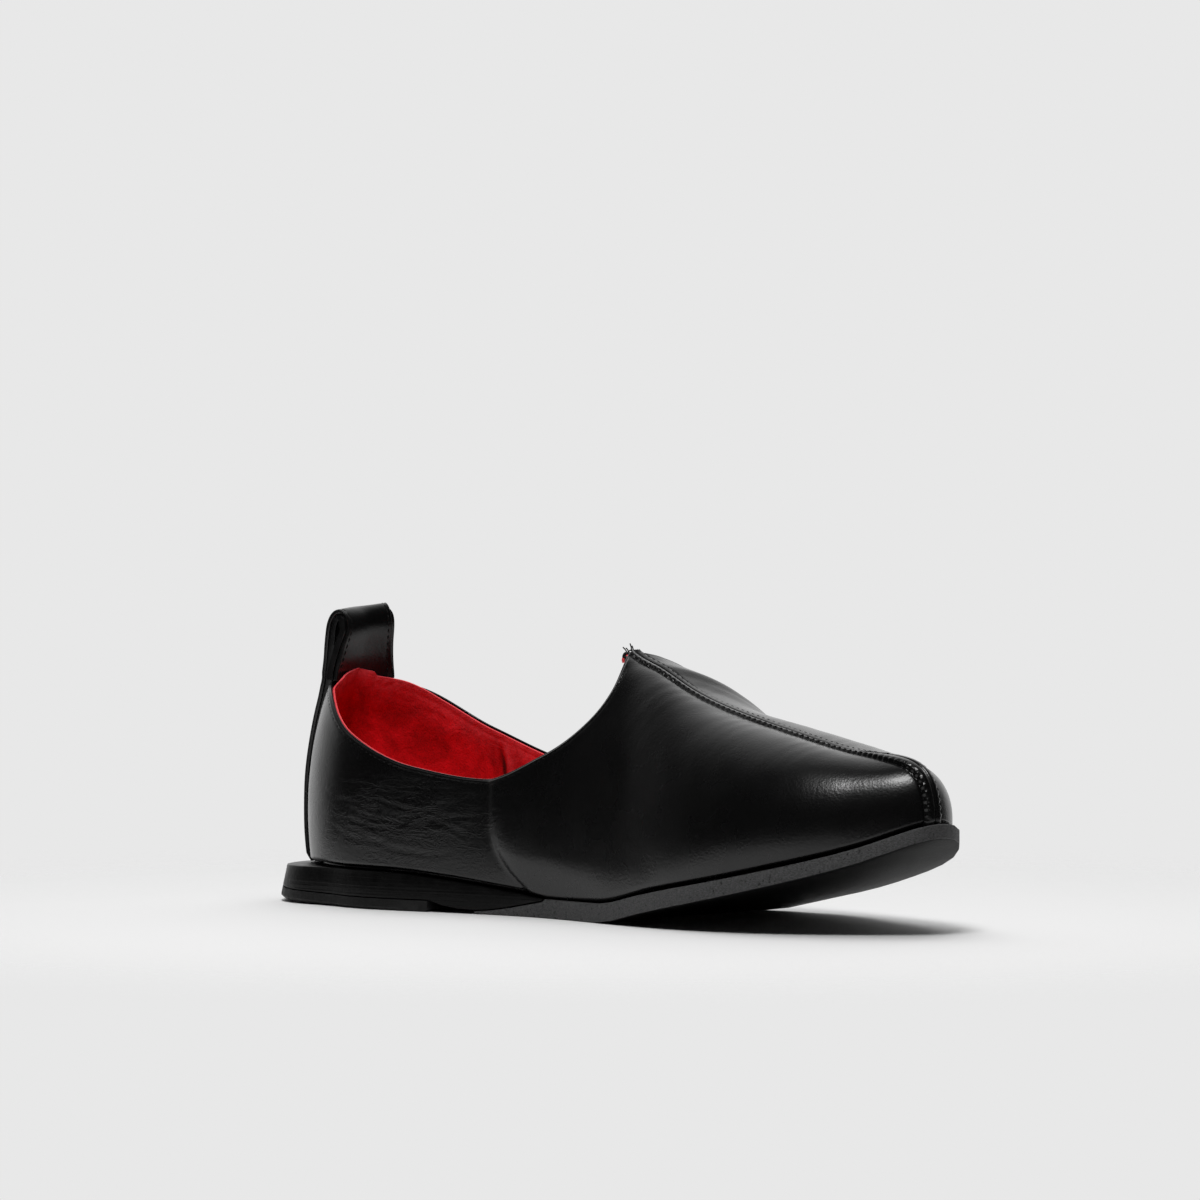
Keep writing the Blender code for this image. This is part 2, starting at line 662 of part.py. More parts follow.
def main():
    clear_scene()
    shoe = bpy.data.collections.new("khussa")
    bpy.context.scene.collection.children.link(shoe)
    black_leather = material("black_leather", (0.012, 0.012, 0.013), 0.35)
    sole_leather = material("sole_leather", (0.03, 0.03, 0.032), 0.6)
    edge_leather = material("stacked_leather", (0.015, 0.015, 0.015), 0.4)
    rubber = material("lift_rubber", (0.02, 0.02, 0.02), 0.7)
    lining = material("red_lining", (0.6, 0.01, 0.015), 0.9)
    make_outsole(shoe, sole_leather)
    make_heel_wedge(shoe, edge_leather)
    make_heel_lift(shoe, rubber)
    make_insole(shoe, lining)
    make_upper(shoe, black_leather)
    make_back_strap(shoe, black_leather)


main()
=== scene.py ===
from math import radians

import bpy
import numpy as np
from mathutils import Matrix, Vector


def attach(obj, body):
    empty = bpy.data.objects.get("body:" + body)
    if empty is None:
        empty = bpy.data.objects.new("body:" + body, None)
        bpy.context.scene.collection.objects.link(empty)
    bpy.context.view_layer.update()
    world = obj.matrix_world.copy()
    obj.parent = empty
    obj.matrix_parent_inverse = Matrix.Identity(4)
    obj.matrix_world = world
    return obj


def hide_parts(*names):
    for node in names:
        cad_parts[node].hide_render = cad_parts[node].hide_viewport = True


# A left khussa. Places on the shoe are (ahead of the heel, across towards the big toe, up) in millimetres.
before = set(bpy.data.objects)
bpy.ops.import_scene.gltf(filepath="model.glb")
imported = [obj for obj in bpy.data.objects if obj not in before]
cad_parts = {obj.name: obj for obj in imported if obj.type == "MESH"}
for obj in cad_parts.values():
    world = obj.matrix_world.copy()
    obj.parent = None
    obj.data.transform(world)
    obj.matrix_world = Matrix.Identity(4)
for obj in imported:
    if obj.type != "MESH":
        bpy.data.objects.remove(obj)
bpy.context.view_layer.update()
mm = 0.001

last = {
    "length": 264.0,
    "ballWidth": 85.5,
    "middleAhead": 129.65,  # where the shoe's middle is, ahead of the heel
    "middleAcross": -1.826,
    "underUpper": 2.1,  # the upper's wall starts this far above the sole
    # rows tucked in under the edge: inward, down
    "tuck": [(7, 1.7), (4.5, 1.3), (2.4, 0.8), (1.1, 0.6), (0.4, 0.42), (0.1, 0.18)],
    "peakColumn": 0.405,  # share of the lower edge whose column ends at the peak
    "peakAhead": 0.512,
    "collarBack": 73.0,
    "rowCrowding": 1.3,  # above 1, rows stand closer towards the top line
    "toeCrowding": 1.2,  # above 1, columns stand closer towards the toe
    "peakCrowding": 0.25,  # the smaller, the closer columns stand behind the peak
}
# lower edge of the upper, toe to heel: share of length, share of ball width
innerEdge = [
    (1, 0.1), (0.939, 0.288), (0.85, 0.428), (0.7, 0.475), (0.432, 0.34), (0.119, 0.404), (-0.004, 0.024),
]
outerEdge = [
    (1, 0.1), (0.93, -0.215), (0.828, -0.35), (0.658, -0.521), (0.42, -0.41), (0.12, -0.33), (-0.004, 0.024),
]
# top of the sole: share of length, height
soleTop = [
    (0, 11.7), (0.13, 12.2), (0.22, 12.0), (0.3, 10.4), (0.39, 7.8), (0.465, 6), (0.55, 6),
    (0.66, 10.9), (0.82, 18.8), (0.93, 26.4), (1, 34),
]
# middle line of the last, toe to heel: share of length, height
middleLine = [
    (0.916, 54.2), (0.855, 55.6), (0.795, 58.9), (0.714, 63.7), (0.655, 67.8), (0.6, 73.1), (0.552, 78.9),
    (0.512, 83.5), (0.476, 91.8), (0.422, 98), (0.331, 105.8), (0.15, 115.5),
]
# how far the outer half falls from the ridge: share of the lower edge, drop of the upper handle
outerCrown = [
    (0, 0), (0.12, 0), (0.2, 0.5), (0.27, 4), (0.31, 5.5), (0.335, 2.5), (0.36, -2.5), (0.39, -1.5),
    (0.405, 0), (1, 0),
]
# collar from the peak to the heel: share of its way, height
collarLine = [
    (0, 83.5), (0.04, 72.3), (0.1, 62.6), (0.22, 50.5), (0.36, 42.6), (0.52, 45.9), (0.68, 55.1),
    (0.84, 68.2), (1, 73),
]
# how the wall bends: share of the lower edge, lean in degrees, lower handle, upper handle
wallBend = [
    (0, -4, 0.8, 0.78), (0.2, 14, 0.6, 0.56), (0.405, 4.4, 0.405, 0.48), (0.58, 4.0, 0.433, 0.341),
    (0.78, 4.6, 0.71, 0.384), (1, 9.1, 0.525, 0.284),
]


# an even curve through points, free or level at its ends
def naturalCurve(x, y, levelEnds=False):
    x, y = np.array(x, float), np.array(y, float)
    step, count = np.diff(x), len(x)
    slope = np.diff(y) / step
    matrix, sides = np.zeros((count, count)), np.zeros(count)
    for i in range(1, count - 1):
        matrix[i, i - 1 : i + 2] = step[i - 1], 2 * (step[i - 1] + step[i]), step[i]
        sides[i] = 6 * (slope[i] - slope[i - 1])
    matrix[0, 0] = matrix[-1, -1] = 1
    if levelEnds:
        matrix[0, :2] = 2 * step[0], step[0]
        matrix[-1, -2:] = step[-1], 2 * step[-1]
        sides[0], sides[-1] = 6 * slope[0], -6 * slope[-1]
    bend = np.linalg.solve(matrix, sides)

    def curve(at):
        at = np.asarray(at, float)
        i = np.clip(np.searchsorted(x, at, side="right") - 1, 0, count - 2)
        before, after, h = at - x[i], x[i + 1] - at, step[i]
        line = (y[i] * after + y[i + 1] * before) / h
        return line + (bend[i] * (after**3 / h - after * h) + bend[i + 1] * (before**3 / h - before * h)) / 6

    return curve


# a curve that never passes beyond its points
def steadyCurve(x, y):
    x, y = np.array(x, float), np.array(y, float)
    step = np.diff(x)
    slope = np.diff(y) / step
    tangent = np.zeros(len(x))
    tangent[0], tangent[-1] = slope[0], slope[-1]
    for i in range(1, len(x) - 1):
        if slope[i - 1] * slope[i] > 0:
            near, far = 2 * step[i] + step[i - 1], step[i] + 2 * step[i - 1]
            tangent[i] = (near + far) / (near / slope[i - 1] + far / slope[i])

    def curve(at):
        at = np.asarray(at, float)
        i = np.clip(np.searchsorted(x, at, side="right") - 1, 0, len(x) - 2)
        h = step[i]
        t = (at - x[i]) / h
        level = y[i] * (2 * t**3 - 3 * t**2 + 1) + y[i + 1] * (3 * t**2 - 2 * t**3)
        return level + h * (tangent[i] * (t**3 - 2 * t**2 + t) + tangent[i + 1] * (t**3 - t**2))

    return curve


# an eased step from 0 to 1
def ramp(start, end, at):
    t = np.clip((np.asarray(at, float) - start) / (end - start), 0, 1)
    return t * t * (3 - 2 * t)


# 1 at 0, falling away on both sides
def bell(at, width):
    return np.exp(-((at / width) ** 2))


# ways brought to length 1
def unit(ways):
    return ways / np.maximum(np.linalg.norm(ways, axis=-1, keepdims=True), 1e-9)


# how far along a line each of its places is
def runAlong(line):
    return np.concatenate([[0], np.cumsum(np.linalg.norm(np.diff(line, axis=0), axis=1))])


# a lower edge in plan, by share of its length
def edgeCurve(table):
    spots = np.array(table) * (last["length"], last["ballWidth"])
    stations = np.concatenate([[0], np.cumsum(np.hypot(*np.diff(spots, axis=0).T) ** 0.75)])
    ahead = naturalCurve(stations, spots[:, 0], levelEnds=True)
    across = naturalCurve(stations, spots[:, 1])
    fine = np.linspace(0, stations[-1], 400)
    run = runAlong(np.column_stack([ahead(fine), across(fine)]))

    def curve(share):
        at = np.interp(np.asarray(share, float) * run[-1], run, fine)
        return np.stack([ahead(at), across(at)], axis=-1)

    return curve


edges = {"inner": edgeCurve(innerEdge), "outer": edgeCurve(outerEdge)}
soleHeight = steadyCurve([a * last["length"] for a, _ in soleTop], [h for _, h in soleTop])
middleHeight = naturalCurve([-a for a, _ in middleLine], [h for _, h in middleLine])
collarHeight = steadyCurve(*zip(*collarLine))
bendShares, *bends = zip(*wallBend)
bendCurves = [steadyCurve(bendShares, bend) for bend in bends]
aimShare = steadyCurve([0, last["peakColumn"], 1], [middleLine[0][0], last["peakAhead"], middleLine[-1][0]])
crownDrop = steadyCurve(*zip(*outerCrown))


# places on the upper's outside: a column for each share, rows from under the edge to the top line
def wallGrid(side, shares, rows):
    base = edges[side](shares)
    foot = soleHeight(base[:, 0]) + last["underUpper"]
    ahead = aimShare(shares) * last["length"]
    heelEnd, toeEnd = innerEdge[-1][1], innerEdge[0][1]
    middle = (heelEnd + (toeEnd - heelEnd) * ahead / last["length"]) * last["ballWidth"]
    inward = np.stack([ahead, middle], axis=-1) - base
    reach = np.linalg.norm(inward, axis=1)
    inward /= reach[:, None]
    height = middleHeight(-ahead / last["length"]) - foot
    lean, low, high = (curve(shares) for curve in bendCurves)
    lean = np.radians(lean)
    crown = crownDrop(shares) * (side == "outer")

    def bezier(t, second, third, end):
        second, third, end = second[:, None], third[:, None], end[:, None]
        return 3 * second * t * (1 - t) ** 2 + 3 * third * t**2 * (1 - t) + end * t**3

    def riseAt(t):
        return bezier(t, np.cos(lean) * low * height, height - crown, height)

    fine = np.linspace(0, 1, 400)
    peak = last["peakColumn"]
    collar = collarHeight(np.clip((shares - peak) / (1 - peak), 0, 1)) - foot
    cuts = np.array([np.interp(level, rises, fine) for level, rises in zip(collar, riseAt(fine[None, :]))])
    cuts = np.where(shares > peak, cuts, 1)[:, None]
    even = 1 - (1 - np.linspace(0, 1, rows)) ** last["rowCrowding"]
    crowding = 1 - (1 - cuts) * ramp(0.4, 0.9, cuts)
    t = even * cuts / (crowding + even * (1 - crowding))
    run = bezier(t, -np.sin(lean) * low * height, reach * (1 - high), reach)
    rise = riseAt(t)
    inwards, down = np.array(last["tuck"]).T
    ones = np.ones((len(shares), 1))
    run = np.concatenate([ones * inwards, run], axis=1)
    rise = np.concatenate([-ones * down, rise], axis=1)
    plan = base[:, None, :] + inward[:, None, :] * run[..., None]
    level = np.repeat(foot[:, None], run.shape[1], axis=1)
    level[:, : len(down)] = soleHeight(plan[:, : len(down), 0]) + last["underUpper"]
    return np.concatenate([plan, (level + rise)[..., None]], axis=-1)


# where the columns stand, as shares of the lower edge
def columnShares(vampColumns, quarterColumns):
    peak, crowding = last["peakColumn"], last["peakCrowding"]
    spread = np.linspace(0, 1, quarterColumns + 1)[1:]
    quarter = np.hypot(spread, crowding) - crowding
    vamp = peak * np.linspace(0, 1, vampColumns) ** last["toeCrowding"]
    return np.concatenate([vamp, peak + (1 - peak) * quarter / quarter[-1]])


# places on the shoe, in millimetres, to metres round its middle
def toWorld(places):
    places = np.asarray(places, float)
    x = last["middleAcross"] - places[..., 1]
    y = last["middleAhead"] - places[..., 0]
    return np.stack([x, y, places[..., 2]], axis=-1) * mm


# outward headings of a grid of places
def gridNormals(grid):
    down, along = np.gradient(grid, axis=1), np.gradient(grid, axis=0)
    facing = unit(np.cross(along, down))
    upright = len(grid) // 2, grid.shape[1] // 3
    return facing if facing[upright][1] * grid[upright][1] > 0 else -facing


# soft unevenness from a few waves, about -1 to 1, over a length in millimetres
def smoothNoise(places, size, seed):
    waves = np.random.default_rng(seed)
    total = np.zeros(places.shape[:-1])
    for _ in range(9):
        heading = waves.normal(size=3)
        heading /= np.linalg.norm(heading) * size / (2 * np.pi) * waves.uniform(0.7, 1.5)
        total += np.sin(places @ heading + waves.uniform(0, 2 * np.pi))
    return total / 4.0


# distance of each place to a line of places, and how far along the line that is
def nearestOn(places, line, batch=20000):
    run = runAlong(line)
    flat = places.reshape(-1, places.shape[-1])
    best, where = np.full(len(flat), 1e9), np.zeros(len(flat))
    starts, steps = line[:-1], np.diff(line, axis=0)
    length2 = np.maximum((steps**2).sum(1), 1e-12)
    for first in range(0, len(flat), batch):
        part = flat[first : first + batch]
        along = (part @ steps.T) - (starts * steps).sum(1)
        t = np.clip(along / length2, 0, 1)
        gap2 = ((part**2).sum(1)[:, None] - 2 * part @ starts.T + (starts**2).sum(1)) - 2 * t * along
        gap2 += t**2 * length2
        near = gap2.argmin(1)
        rows = np.arange(len(part))
        best[first : first + batch] = np.sqrt(np.maximum(gap2[rows, near], 0))
        where[first : first + batch] = run[near] + t[rows, near] * np.sqrt(length2[near])
    return best.reshape(places.shape[:-1]), where.reshape(places.shape[:-1])


def selectOnly(*pieces):
    bpy.ops.object.select_all(action="DESELECT")
    for piece in pieces:
        piece.select_set(True)
    bpy.context.view_layer.objects.active = pieces[0]


# one edit-mode operator on the whole of the active piece
def editWhole(operator, **settings):
    bpy.ops.object.mode_set(mode="EDIT")
    bpy.ops.mesh.select_all(action="SELECT")
    operator(**settings)
    bpy.ops.object.mode_set(mode="OBJECT")


# a fresh object, alone in the selection
def addFresh(name, operator, **settings):
    bpy.ops.object.select_all(action="DESELECT")
    operator(**settings)
    made = bpy.context.active_object
    made.name = name
    return made


# a piece made of a mesh, with its finish, alone in the selection
def newPiece(name, mesh, finish):
    piece = bpy.data.objects.new(name, mesh)
    mesh.name = name
    mesh.materials.clear()
    mesh.materials.append(finish)
    bpy.context.scene.collection.objects.link(piece)
    selectOnly(piece)
    return piece


# a grid laid over places on the shoe
def gridOver(name, places):
    columns, rows = places.shape[:2]
    cuts = {"x_subdivisions": columns - 1, "y_subdivisions": rows - 1}
    piece = addFresh(name, bpy.ops.mesh.primitive_grid_add, size=1, **cuts)
    piece.data.name = name
    piece.data.vertices.foreach_set("co", toWorld(places).transpose(1, 0, 2).ravel().astype(np.float32))
    piece.data.update()
    return piece


# a wall on the piece's inner side
def thicken(piece, thickness, rimSlot=0):
    wall = piece.modifiers.new("wall", "SOLIDIFY")
    wall.thickness, wall.offset, wall.material_offset_rim = thickness * mm, -1, rimSlot
    bpy.ops.object.modifier_apply(modifier="wall")


def roundEdges(piece, width, segments):
    rounding = piece.modifiers.new("rounding", "BEVEL")
    rounding.width, rounding.segments, rounding.limit_method = width * mm, segments, "ANGLE"
    rounding.angle_limit = radians(50)
    bpy.ops.object.modifier_apply(modifier="rounding")


# one side of the upper or its lining, turned to face outwards
def sideGrid(name, places, finish):
    columns, rows = places.shape[:2]
    piece = gridOver(name, places)
    upright = piece.data.polygons[(rows // 3) * (columns - 1) + columns // 2]
    if upright.normal.x * upright.center.x < 0:
        editWhole(bpy.ops.mesh.flip_normals)
    piece.data.materials.append(finish)
    return piece


# merges doubles, smooths the shading and fixes the piece to the shoe
def finishPiece(piece, smoothAngle=60, merge=1e-6):
    selectOnly(piece)
    editWhole(bpy.ops.mesh.remove_doubles, threshold=merge)
    bpy.ops.object.shade_smooth_by_angle(angle=radians(smoothAngle))
    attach(piece, "root")
    piece.select_set(False)
    return piece


# a plain material, with its tree, its shader and the piece's own coordinates
def newMaterial(name, colour, roughness, **sockets):
    made = bpy.data.materials.new(name)
    made.use_nodes = True
    tree = made.node_tree
    shader = tree.nodes["Principled BSDF"]
    shader.inputs["Base Color"].default_value = (*colour, 1)
    shader.inputs["Roughness"].default_value = roughness
    for socket, value in sockets.items():
        shader.inputs[socket.replace("_", " ")].default_value = value
    return made, tree, shader, addNode(tree, "ShaderNodeTexCoord").outputs["Object"]


def addNode(tree, kind, inputs=(), **settings):
    made = tree.nodes.new(kind)
    for key, value in settings.items():
        setattr(made, key, value)
    for key, value in dict(inputs).items():
        if isinstance(value, bpy.types.NodeSocket):
            tree.links.new(value, made.inputs[key])
        else:
            made.inputs[key].default_value = value
    return made


def noiseOf(tree, place, scale, detail=3.0, roughness=0.55, distortion=0.0):
    made = addNode(tree, "ShaderNodeTexNoise", {"Vector": place, "Scale": scale, "Detail": detail})
    made.inputs["Roughness"].default_value = roughness
    made.inputs["Distortion"].default_value = distortion
    return made.outputs["Fac"]


def rangeOf(tree, value, low, high, fromLow=0.3, fromHigh=0.7):
    made = addNode(tree, "ShaderNodeMapRange", {"Value": value, "From Min": fromLow, "From Max": fromHigh})
    made.inputs["To Min"].default_value, made.inputs["To Max"].default_value = low, high
    return made.outputs["Result"]


# a mix of two colours, of which the first may come from another node
def mixOf(tree, factor, first, second):
    first = first if isinstance(first, bpy.types.NodeSocket) else (*first, 1)
    inputs = {"Factor": factor, "A": first, "B": (*second, 1)}
    return addNode(tree, "ShaderNodeMix", inputs, data_type="RGBA").outputs["Result"]


def mathOf(tree, operation, *values):
    return addNode(tree, "ShaderNodeMath", enumerate(values), operation=operation).outputs[0]


def bumpOf(tree, height, distance, strength=1.0, under=None):
    made = addNode(tree, "ShaderNodeBump", {"Height": height, "Distance": distance, "Strength": strength})
    if under is not None:
        tree.links.new(under, made.inputs["Normal"])
    return made.outputs["Normal"]


def linkShader(tree, shader, **outputs):
    for socket, output in outputs.items():
        tree.links.new(output, shader.inputs[socket.replace("_", " ")])


# fine wrinkles where creased lines of noise cross a patch of the leather
def wrinkleHeight(tree, place, at, reach):
    inputs = {"Vector": place, "Location": at, "Scale": reach}
    spot = addNode(tree, "ShaderNodeMapping", inputs, vector_type="TEXTURE").outputs["Vector"]
    near = addNode(tree, "ShaderNodeTexGradient", {"Vector": spot}, gradient_type="SPHERICAL")
    drawn = addNode(tree, "ShaderNodeMapping", {"Vector": place, "Scale": (0.5, 0.5, 1.8)})
    waves = noiseOf(tree, drawn.outputs["Vector"], 190, 4, 0.6, 1.6)
    centred = mathOf(tree, "SUBTRACT", waves, 0.5)
    lines = rangeOf(tree, mathOf(tree, "ABSOLUTE", centred), 0, 1, 0.0, 0.11)
    return mathOf(tree, "MULTIPLY", lines, rangeOf(tree, near.outputs["Fac"], 0, 1, 0.0, 0.9))


def leatherFinish(name, settings):
    colour, rough, grain = settings["colour"], settings["roughness"], settings["grain"]
    made, tree, shader, place = newMaterial(name, colour, rough, Specular_IOR_Level=settings["shine"])
    tone = mixOf(tree, rangeOf(tree, noiseOf(tree, place, 45, 4), 0, 1), colour, settings["worn"])
    spread = rangeOf(tree, noiseOf(tree, place, 60, 3), rough - 0.02, rough + 0.03)
    pores = addNode(tree, "ShaderNodeTexVoronoi", {"Vector": place, "Scale": 1400.0}).outputs["Distance"]
    normal = bumpOf(tree, pores, 0.00002 * grain)
    normal = bumpOf(tree, noiseOf(tree, place, 800, 2, 0.5, 0.4), 0.00004 * grain, under=normal)
    if settings["wrinkles"]:
        height = wrinkleHeight(tree, place, settings["wrinkledAt"], settings["wrinkledReach"])
        normal = bumpOf(tree, height, 0.000045 * settings["wrinkles"], under=normal)
    linkShader(tree, shader, Base_Color=tone, Roughness=spread, Normal=normal)
    return made


finishes = {
    "upper": {
        "colour": (0.0018, 0.0018, 0.0019), "worn": (0.0030, 0.0030, 0.0031), "roughness": 0.27, "shine": 0.5,
        "grain": 1.0, "wrinkles": 1.0, "wrinkledAt": (0, 0.068, 0.029), "wrinkledReach": (0.3, 0.062, 0.026),
    },
    "strap": {
        "colour": (0.0020, 0.0020, 0.0021), "worn": (0.0032, 0.0032, 0.0033), "roughness": 0.28, "shine": 0.4,
        "grain": 0.8, "wrinkles": 0,
    },
}
upperLeather = leatherFinish("black_calf", finishes["upper"])
strapLeather = leatherFinish("black_strap", finishes["strap"])


# one colour with noise in its roughness (scale, detail, low, high) and as a relief (scale, detail, depth)
def evenFinish(name, shade, rough, relief, shine=0.5, coat=0):
    roughScale, roughDetail, low, high = rough
    scale, detail, depth = relief
    sockets = {"Specular_IOR_Level": shine, "Coat_Weight": coat}
    made, tree, shader, place = newMaterial(name, (shade,) * 3, low, **sockets)
    spread = rangeOf(tree, noiseOf(tree, place, roughScale, roughDetail), low, high)
    normal = bumpOf(tree, noiseOf(tree, place, scale, detail), depth)
    linkShader(tree, shader, Roughness=spread, Normal=normal)
    return made


def redSuede(name, dark, light):
    sheen = {"Sheen_Weight": 0.12, "Sheen_Roughness": 0.5, "Sheen_Tint": (1.0, 0.25, 0.25, 1)}
    made, tree, shader, place = newMaterial(name, dark, 0.92, Specular_IOR_Level=0.15, **sheen)
    patches = noiseOf(tree, place, 38, 6, 0.7, 1.2)
    tone = mixOf(tree, rangeOf(tree, patches, 0, 1, 0.36, 0.64), dark, light)
    # painted light from the lining: above 0 a ragged painted highlight in pink, below 0 painted shade in dark
    # red
    paintedLightLevel = addNode(tree, "ShaderNodeAttribute", attribute_name="paintedLight").outputs["Fac"]
    raggedPaintedHighlight = mathOf(tree, "MULTIPLY", paintedLightLevel, noiseOf(tree, place, 420, 4))
    tone = mixOf(tree, rangeOf(tree, raggedPaintedHighlight, 0, 0.85, 0.05, 0.55), tone, (1.0, 0.09, 0.11))
    # painted shade where the painted light is below 0
    tone = mixOf(tree, rangeOf(tree, paintedLightLevel, 1, 0, -0.8, 0), tone, (0.10, 0.0, 0.0))
    normal = bumpOf(tree, noiseOf(tree, place, 1600, 3), 0.00022)
    normal = bumpOf(tree, noiseOf(tree, place, 150, 5, 0.6, 1.0), 0.0008, under=normal)
    linkShader(tree, shader, Base_Color=tone, Normal=normal)
    return made


def soleEdge():
    made, tree, shader, place = newMaterial("cut_sole_edge", (0.035, 0.035, 0.036), 0.62)
    fibres = addNode(tree, "ShaderNodeMapping", {"Vector": place, "Scale": (1.0, 1.0, 2.2)}).outputs["Vector"]
    cut = noiseOf(tree, fibres, 1300, 5, 0.75, 0.4)
    specks = noiseOf(tree, place, 800, 2, 0.5)
    tone = mixOf(tree, rangeOf(tree, cut, 0, 1, 0.36, 0.64), (0.016, 0.016, 0.017), (0.098, 0.098, 0.099))
    tone = mixOf(tree, rangeOf(tree, specks, 1, 0, 0.31, 0.36), tone, (0.006,) * 3)
    rough = rangeOf(tree, cut, 0.5, 0.75)
    normal = bumpOf(tree, specks, 0.0003, under=bumpOf(tree, cut, 0.0004))
    linkShader(tree, shader, Base_Color=tone, Roughness=rough, Normal=normal)
    return made


def soleUnderside():
    made, tree, shader, place = newMaterial("sole_underside", (0.006,) * 3, 0.5, Specular_IOR_Level=0.05)
    patches = rangeOf(tree, noiseOf(tree, place, 60, 5), 0, 1)
    tone = mixOf(tree, patches, (0.003,) * 3, (0.007, 0.007, 0.0072))
    linkShader(tree, shader, Base_Color=tone, Normal=bumpOf(tree, noiseOf(tree, place, 900, 4), 0.00015))
    return made


def stackedEdge():
    name, dark = "stacked_leather_edge", (0.002,) * 3
    made, tree, shader, place = newMaterial(name, dark, 0.36, Specular_IOR_Level=0.15)
    layers = addNode(tree, "ShaderNodeMapping", {"Vector": place, "Scale": (12.0, 12.0, 900.0)})
    lines = noiseOf(tree, layers.outputs["Vector"], 1.0, 4, 0.6, 0.3)
    scuffs = noiseOf(tree, place, 220, 6, 0.65)
    tone = mixOf(tree, rangeOf(tree, scuffs, 0, 1), (0.0014,) * 3, (0.0034,) * 3)
    rough = rangeOf(tree, scuffs, 0.32, 0.5)
    normal = bumpOf(tree, noiseOf(tree, place, 800, 4), 0.0001, under=bumpOf(tree, lines, 0.0002))
    linkShader(tree, shader, Base_Color=tone, Roughness=rough, Normal=normal)
    return made


paintedEdge = evenFinish("painted_edge", 0.006, (300, 3, 0.24, 0.42), (700, 4, 0.00008), coat=0.2)
suede = redSuede("red_suede", (0.42, 0.001, 0.003), (0.92, 0.008, 0.016))
# the lining's cut edge, pinker and lighter than the suede: partly its own colour, partly a painted highlight
suedeEdgeAndHighlight = redSuede("raw_suede_edge_and_painted_highlight", (0.80, 0.05, 0.06), (0.90, 0.14, 0.14))
cutEdge, underside, stacked = soleEdge(), soleUnderside(), stackedEdge()
liftRubber = evenFinish("lift_rubber", 0.005, (250, 5, 0.45, 0.75), (1200, 4, 0.00015), shine=0.35)
blackThread = evenFinish("black_thread", 0.006, (900, 3, 0.5, 0.7), (2600, 2, 0.0001), shine=0.2)
print("finishes made")

# the pull strap: one band up the heel, over in a loop and down in front onto the collar
strap = {
    "width": 20.8,
    "thickness": 3.0,  # of both plies
    "backPly": 1.35,  # how much thicker the hidden ply is
    "parting": 0.12,  # groove between the plies
    "rounding": 0.38,
    "gap": 0.2,  # between the band and the heel
    "middle": 2.2,  # its middle line, across
    "foot": 0.1,  # its lower end, above the sole
    "edgeRow": 1.8,  # stitching inside its edges
    "stitch": 2.2,
    "dent": 0.16,  # where the stitching pulls in
    "unevenness": 0.08,
    "tilt": 1.8,  # how much higher the loop's outer side is
    "columns": 27,
    "heelRows": 48,
    "loopRows": 70,
    "heelColumns": 34,  # of each side of the upper, where the band lies on the heel
    # loop: forward of the strap, above the collar, share of the heel's curve, share of the width
    "loop": [
        (-0.9, 0, 1, 1), (0.5, 5, 0.8, 1), (1.6, 9.4, 0.58, 1), (2.95, 14.8, 0.36, 1),
        (4.2, 18.3, 0.26, 0.985), (6.4, 20.2, 0.2, 0.97), (8.9, 19.2, 0.2, 0.985), (10.1, 16.2, 0.2, 1),
        (8.6, 10.6, 0.35, 1.1), (6.9, 5.6, 0.5, 1.2), (5.5, 2.0, 0.65, 1.29), (4.7, -0.3, 0.75, 1.34),
        (4.3, -1.9, 0.8, 1.36),
    ],
}

upper = {
    "leather": 1.3,
    "columns": (250, 160),
    "rows": 86,
    "seamRow": 3.0,  # stitching beside the seam
    "toeRow": 0.7,  # how much wider it runs round the top of the toe
    "seamRise": 0.85,  # how far the leather between seam and stitching stands up
    "seamGroove": 0.5,  # where the halves meet
    "seamDent": 0.10,  # where the stitching pulls in
    "seamFurrow": 0.30,  # beside the raised leather
    "waver": 0.14,  # of the raised leather's edge, from stitch to stitch
    "pucker": 0.06,  # of the leather beside the seam
    "collarRow": 1.4,
    "collarDent": 0.10,
    "collarTurn": 0.7,  # how far the collar's edge turns in
    "stitch": 2.3,
    "collarStitch": 2.1,
    "unevenness": (0.12, 0.03),  # in long waves and in short ones
}
# creases in the leather: (side, ahead and up at one end, the same at the other, bow, depth, width)
creases = [
    ("inner", 34, 34, 88, 30, -4.0, 0.13, 0.9),
    ("inner", 38, 30, 66, 27, -2.0, 0.12, 0.8),
    ("inner", 60, 29, 90, 24, 2.5, 0.13, 0.9),
    ("inner", 30, 27, 62, 23, -3.0, 0.10, 0.9),
    ("inner", 50, 37, 80, 33, -2.5, 0.11, 0.8),
    ("inner", 44, 25, 86, 19, -3.0, 0.10, 1.0),
    ("inner", 62, 33, 92, 31, -2.0, 0.12, 0.8),
    ("inner", 24, 38, 46, 35, -2.0, 0.08, 0.9),
    ("outer", 40, 34, 90, 28, -4.0, 0.13, 0.9),
    ("outer", 36, 28, 84, 22, -4.5, 0.12, 0.9),
    ("outer", 50, 38, 92, 36, -3.0, 0.10, 0.8),
]
# where the foot bends the leather: a line up the side (up, ahead) with the leather proud before it
shoulder = {
    "line": [(4, 117), (9, 110.5), (15, 103.5), (22, 98.5), (30, 96.2), (42, 95)],
    "rise": 3.2,
    "flank": 5.0,  # how far before the line it is full
    "back": 75,  # how far before the line it has died out
    "top": 80,  # height where it has died out
}


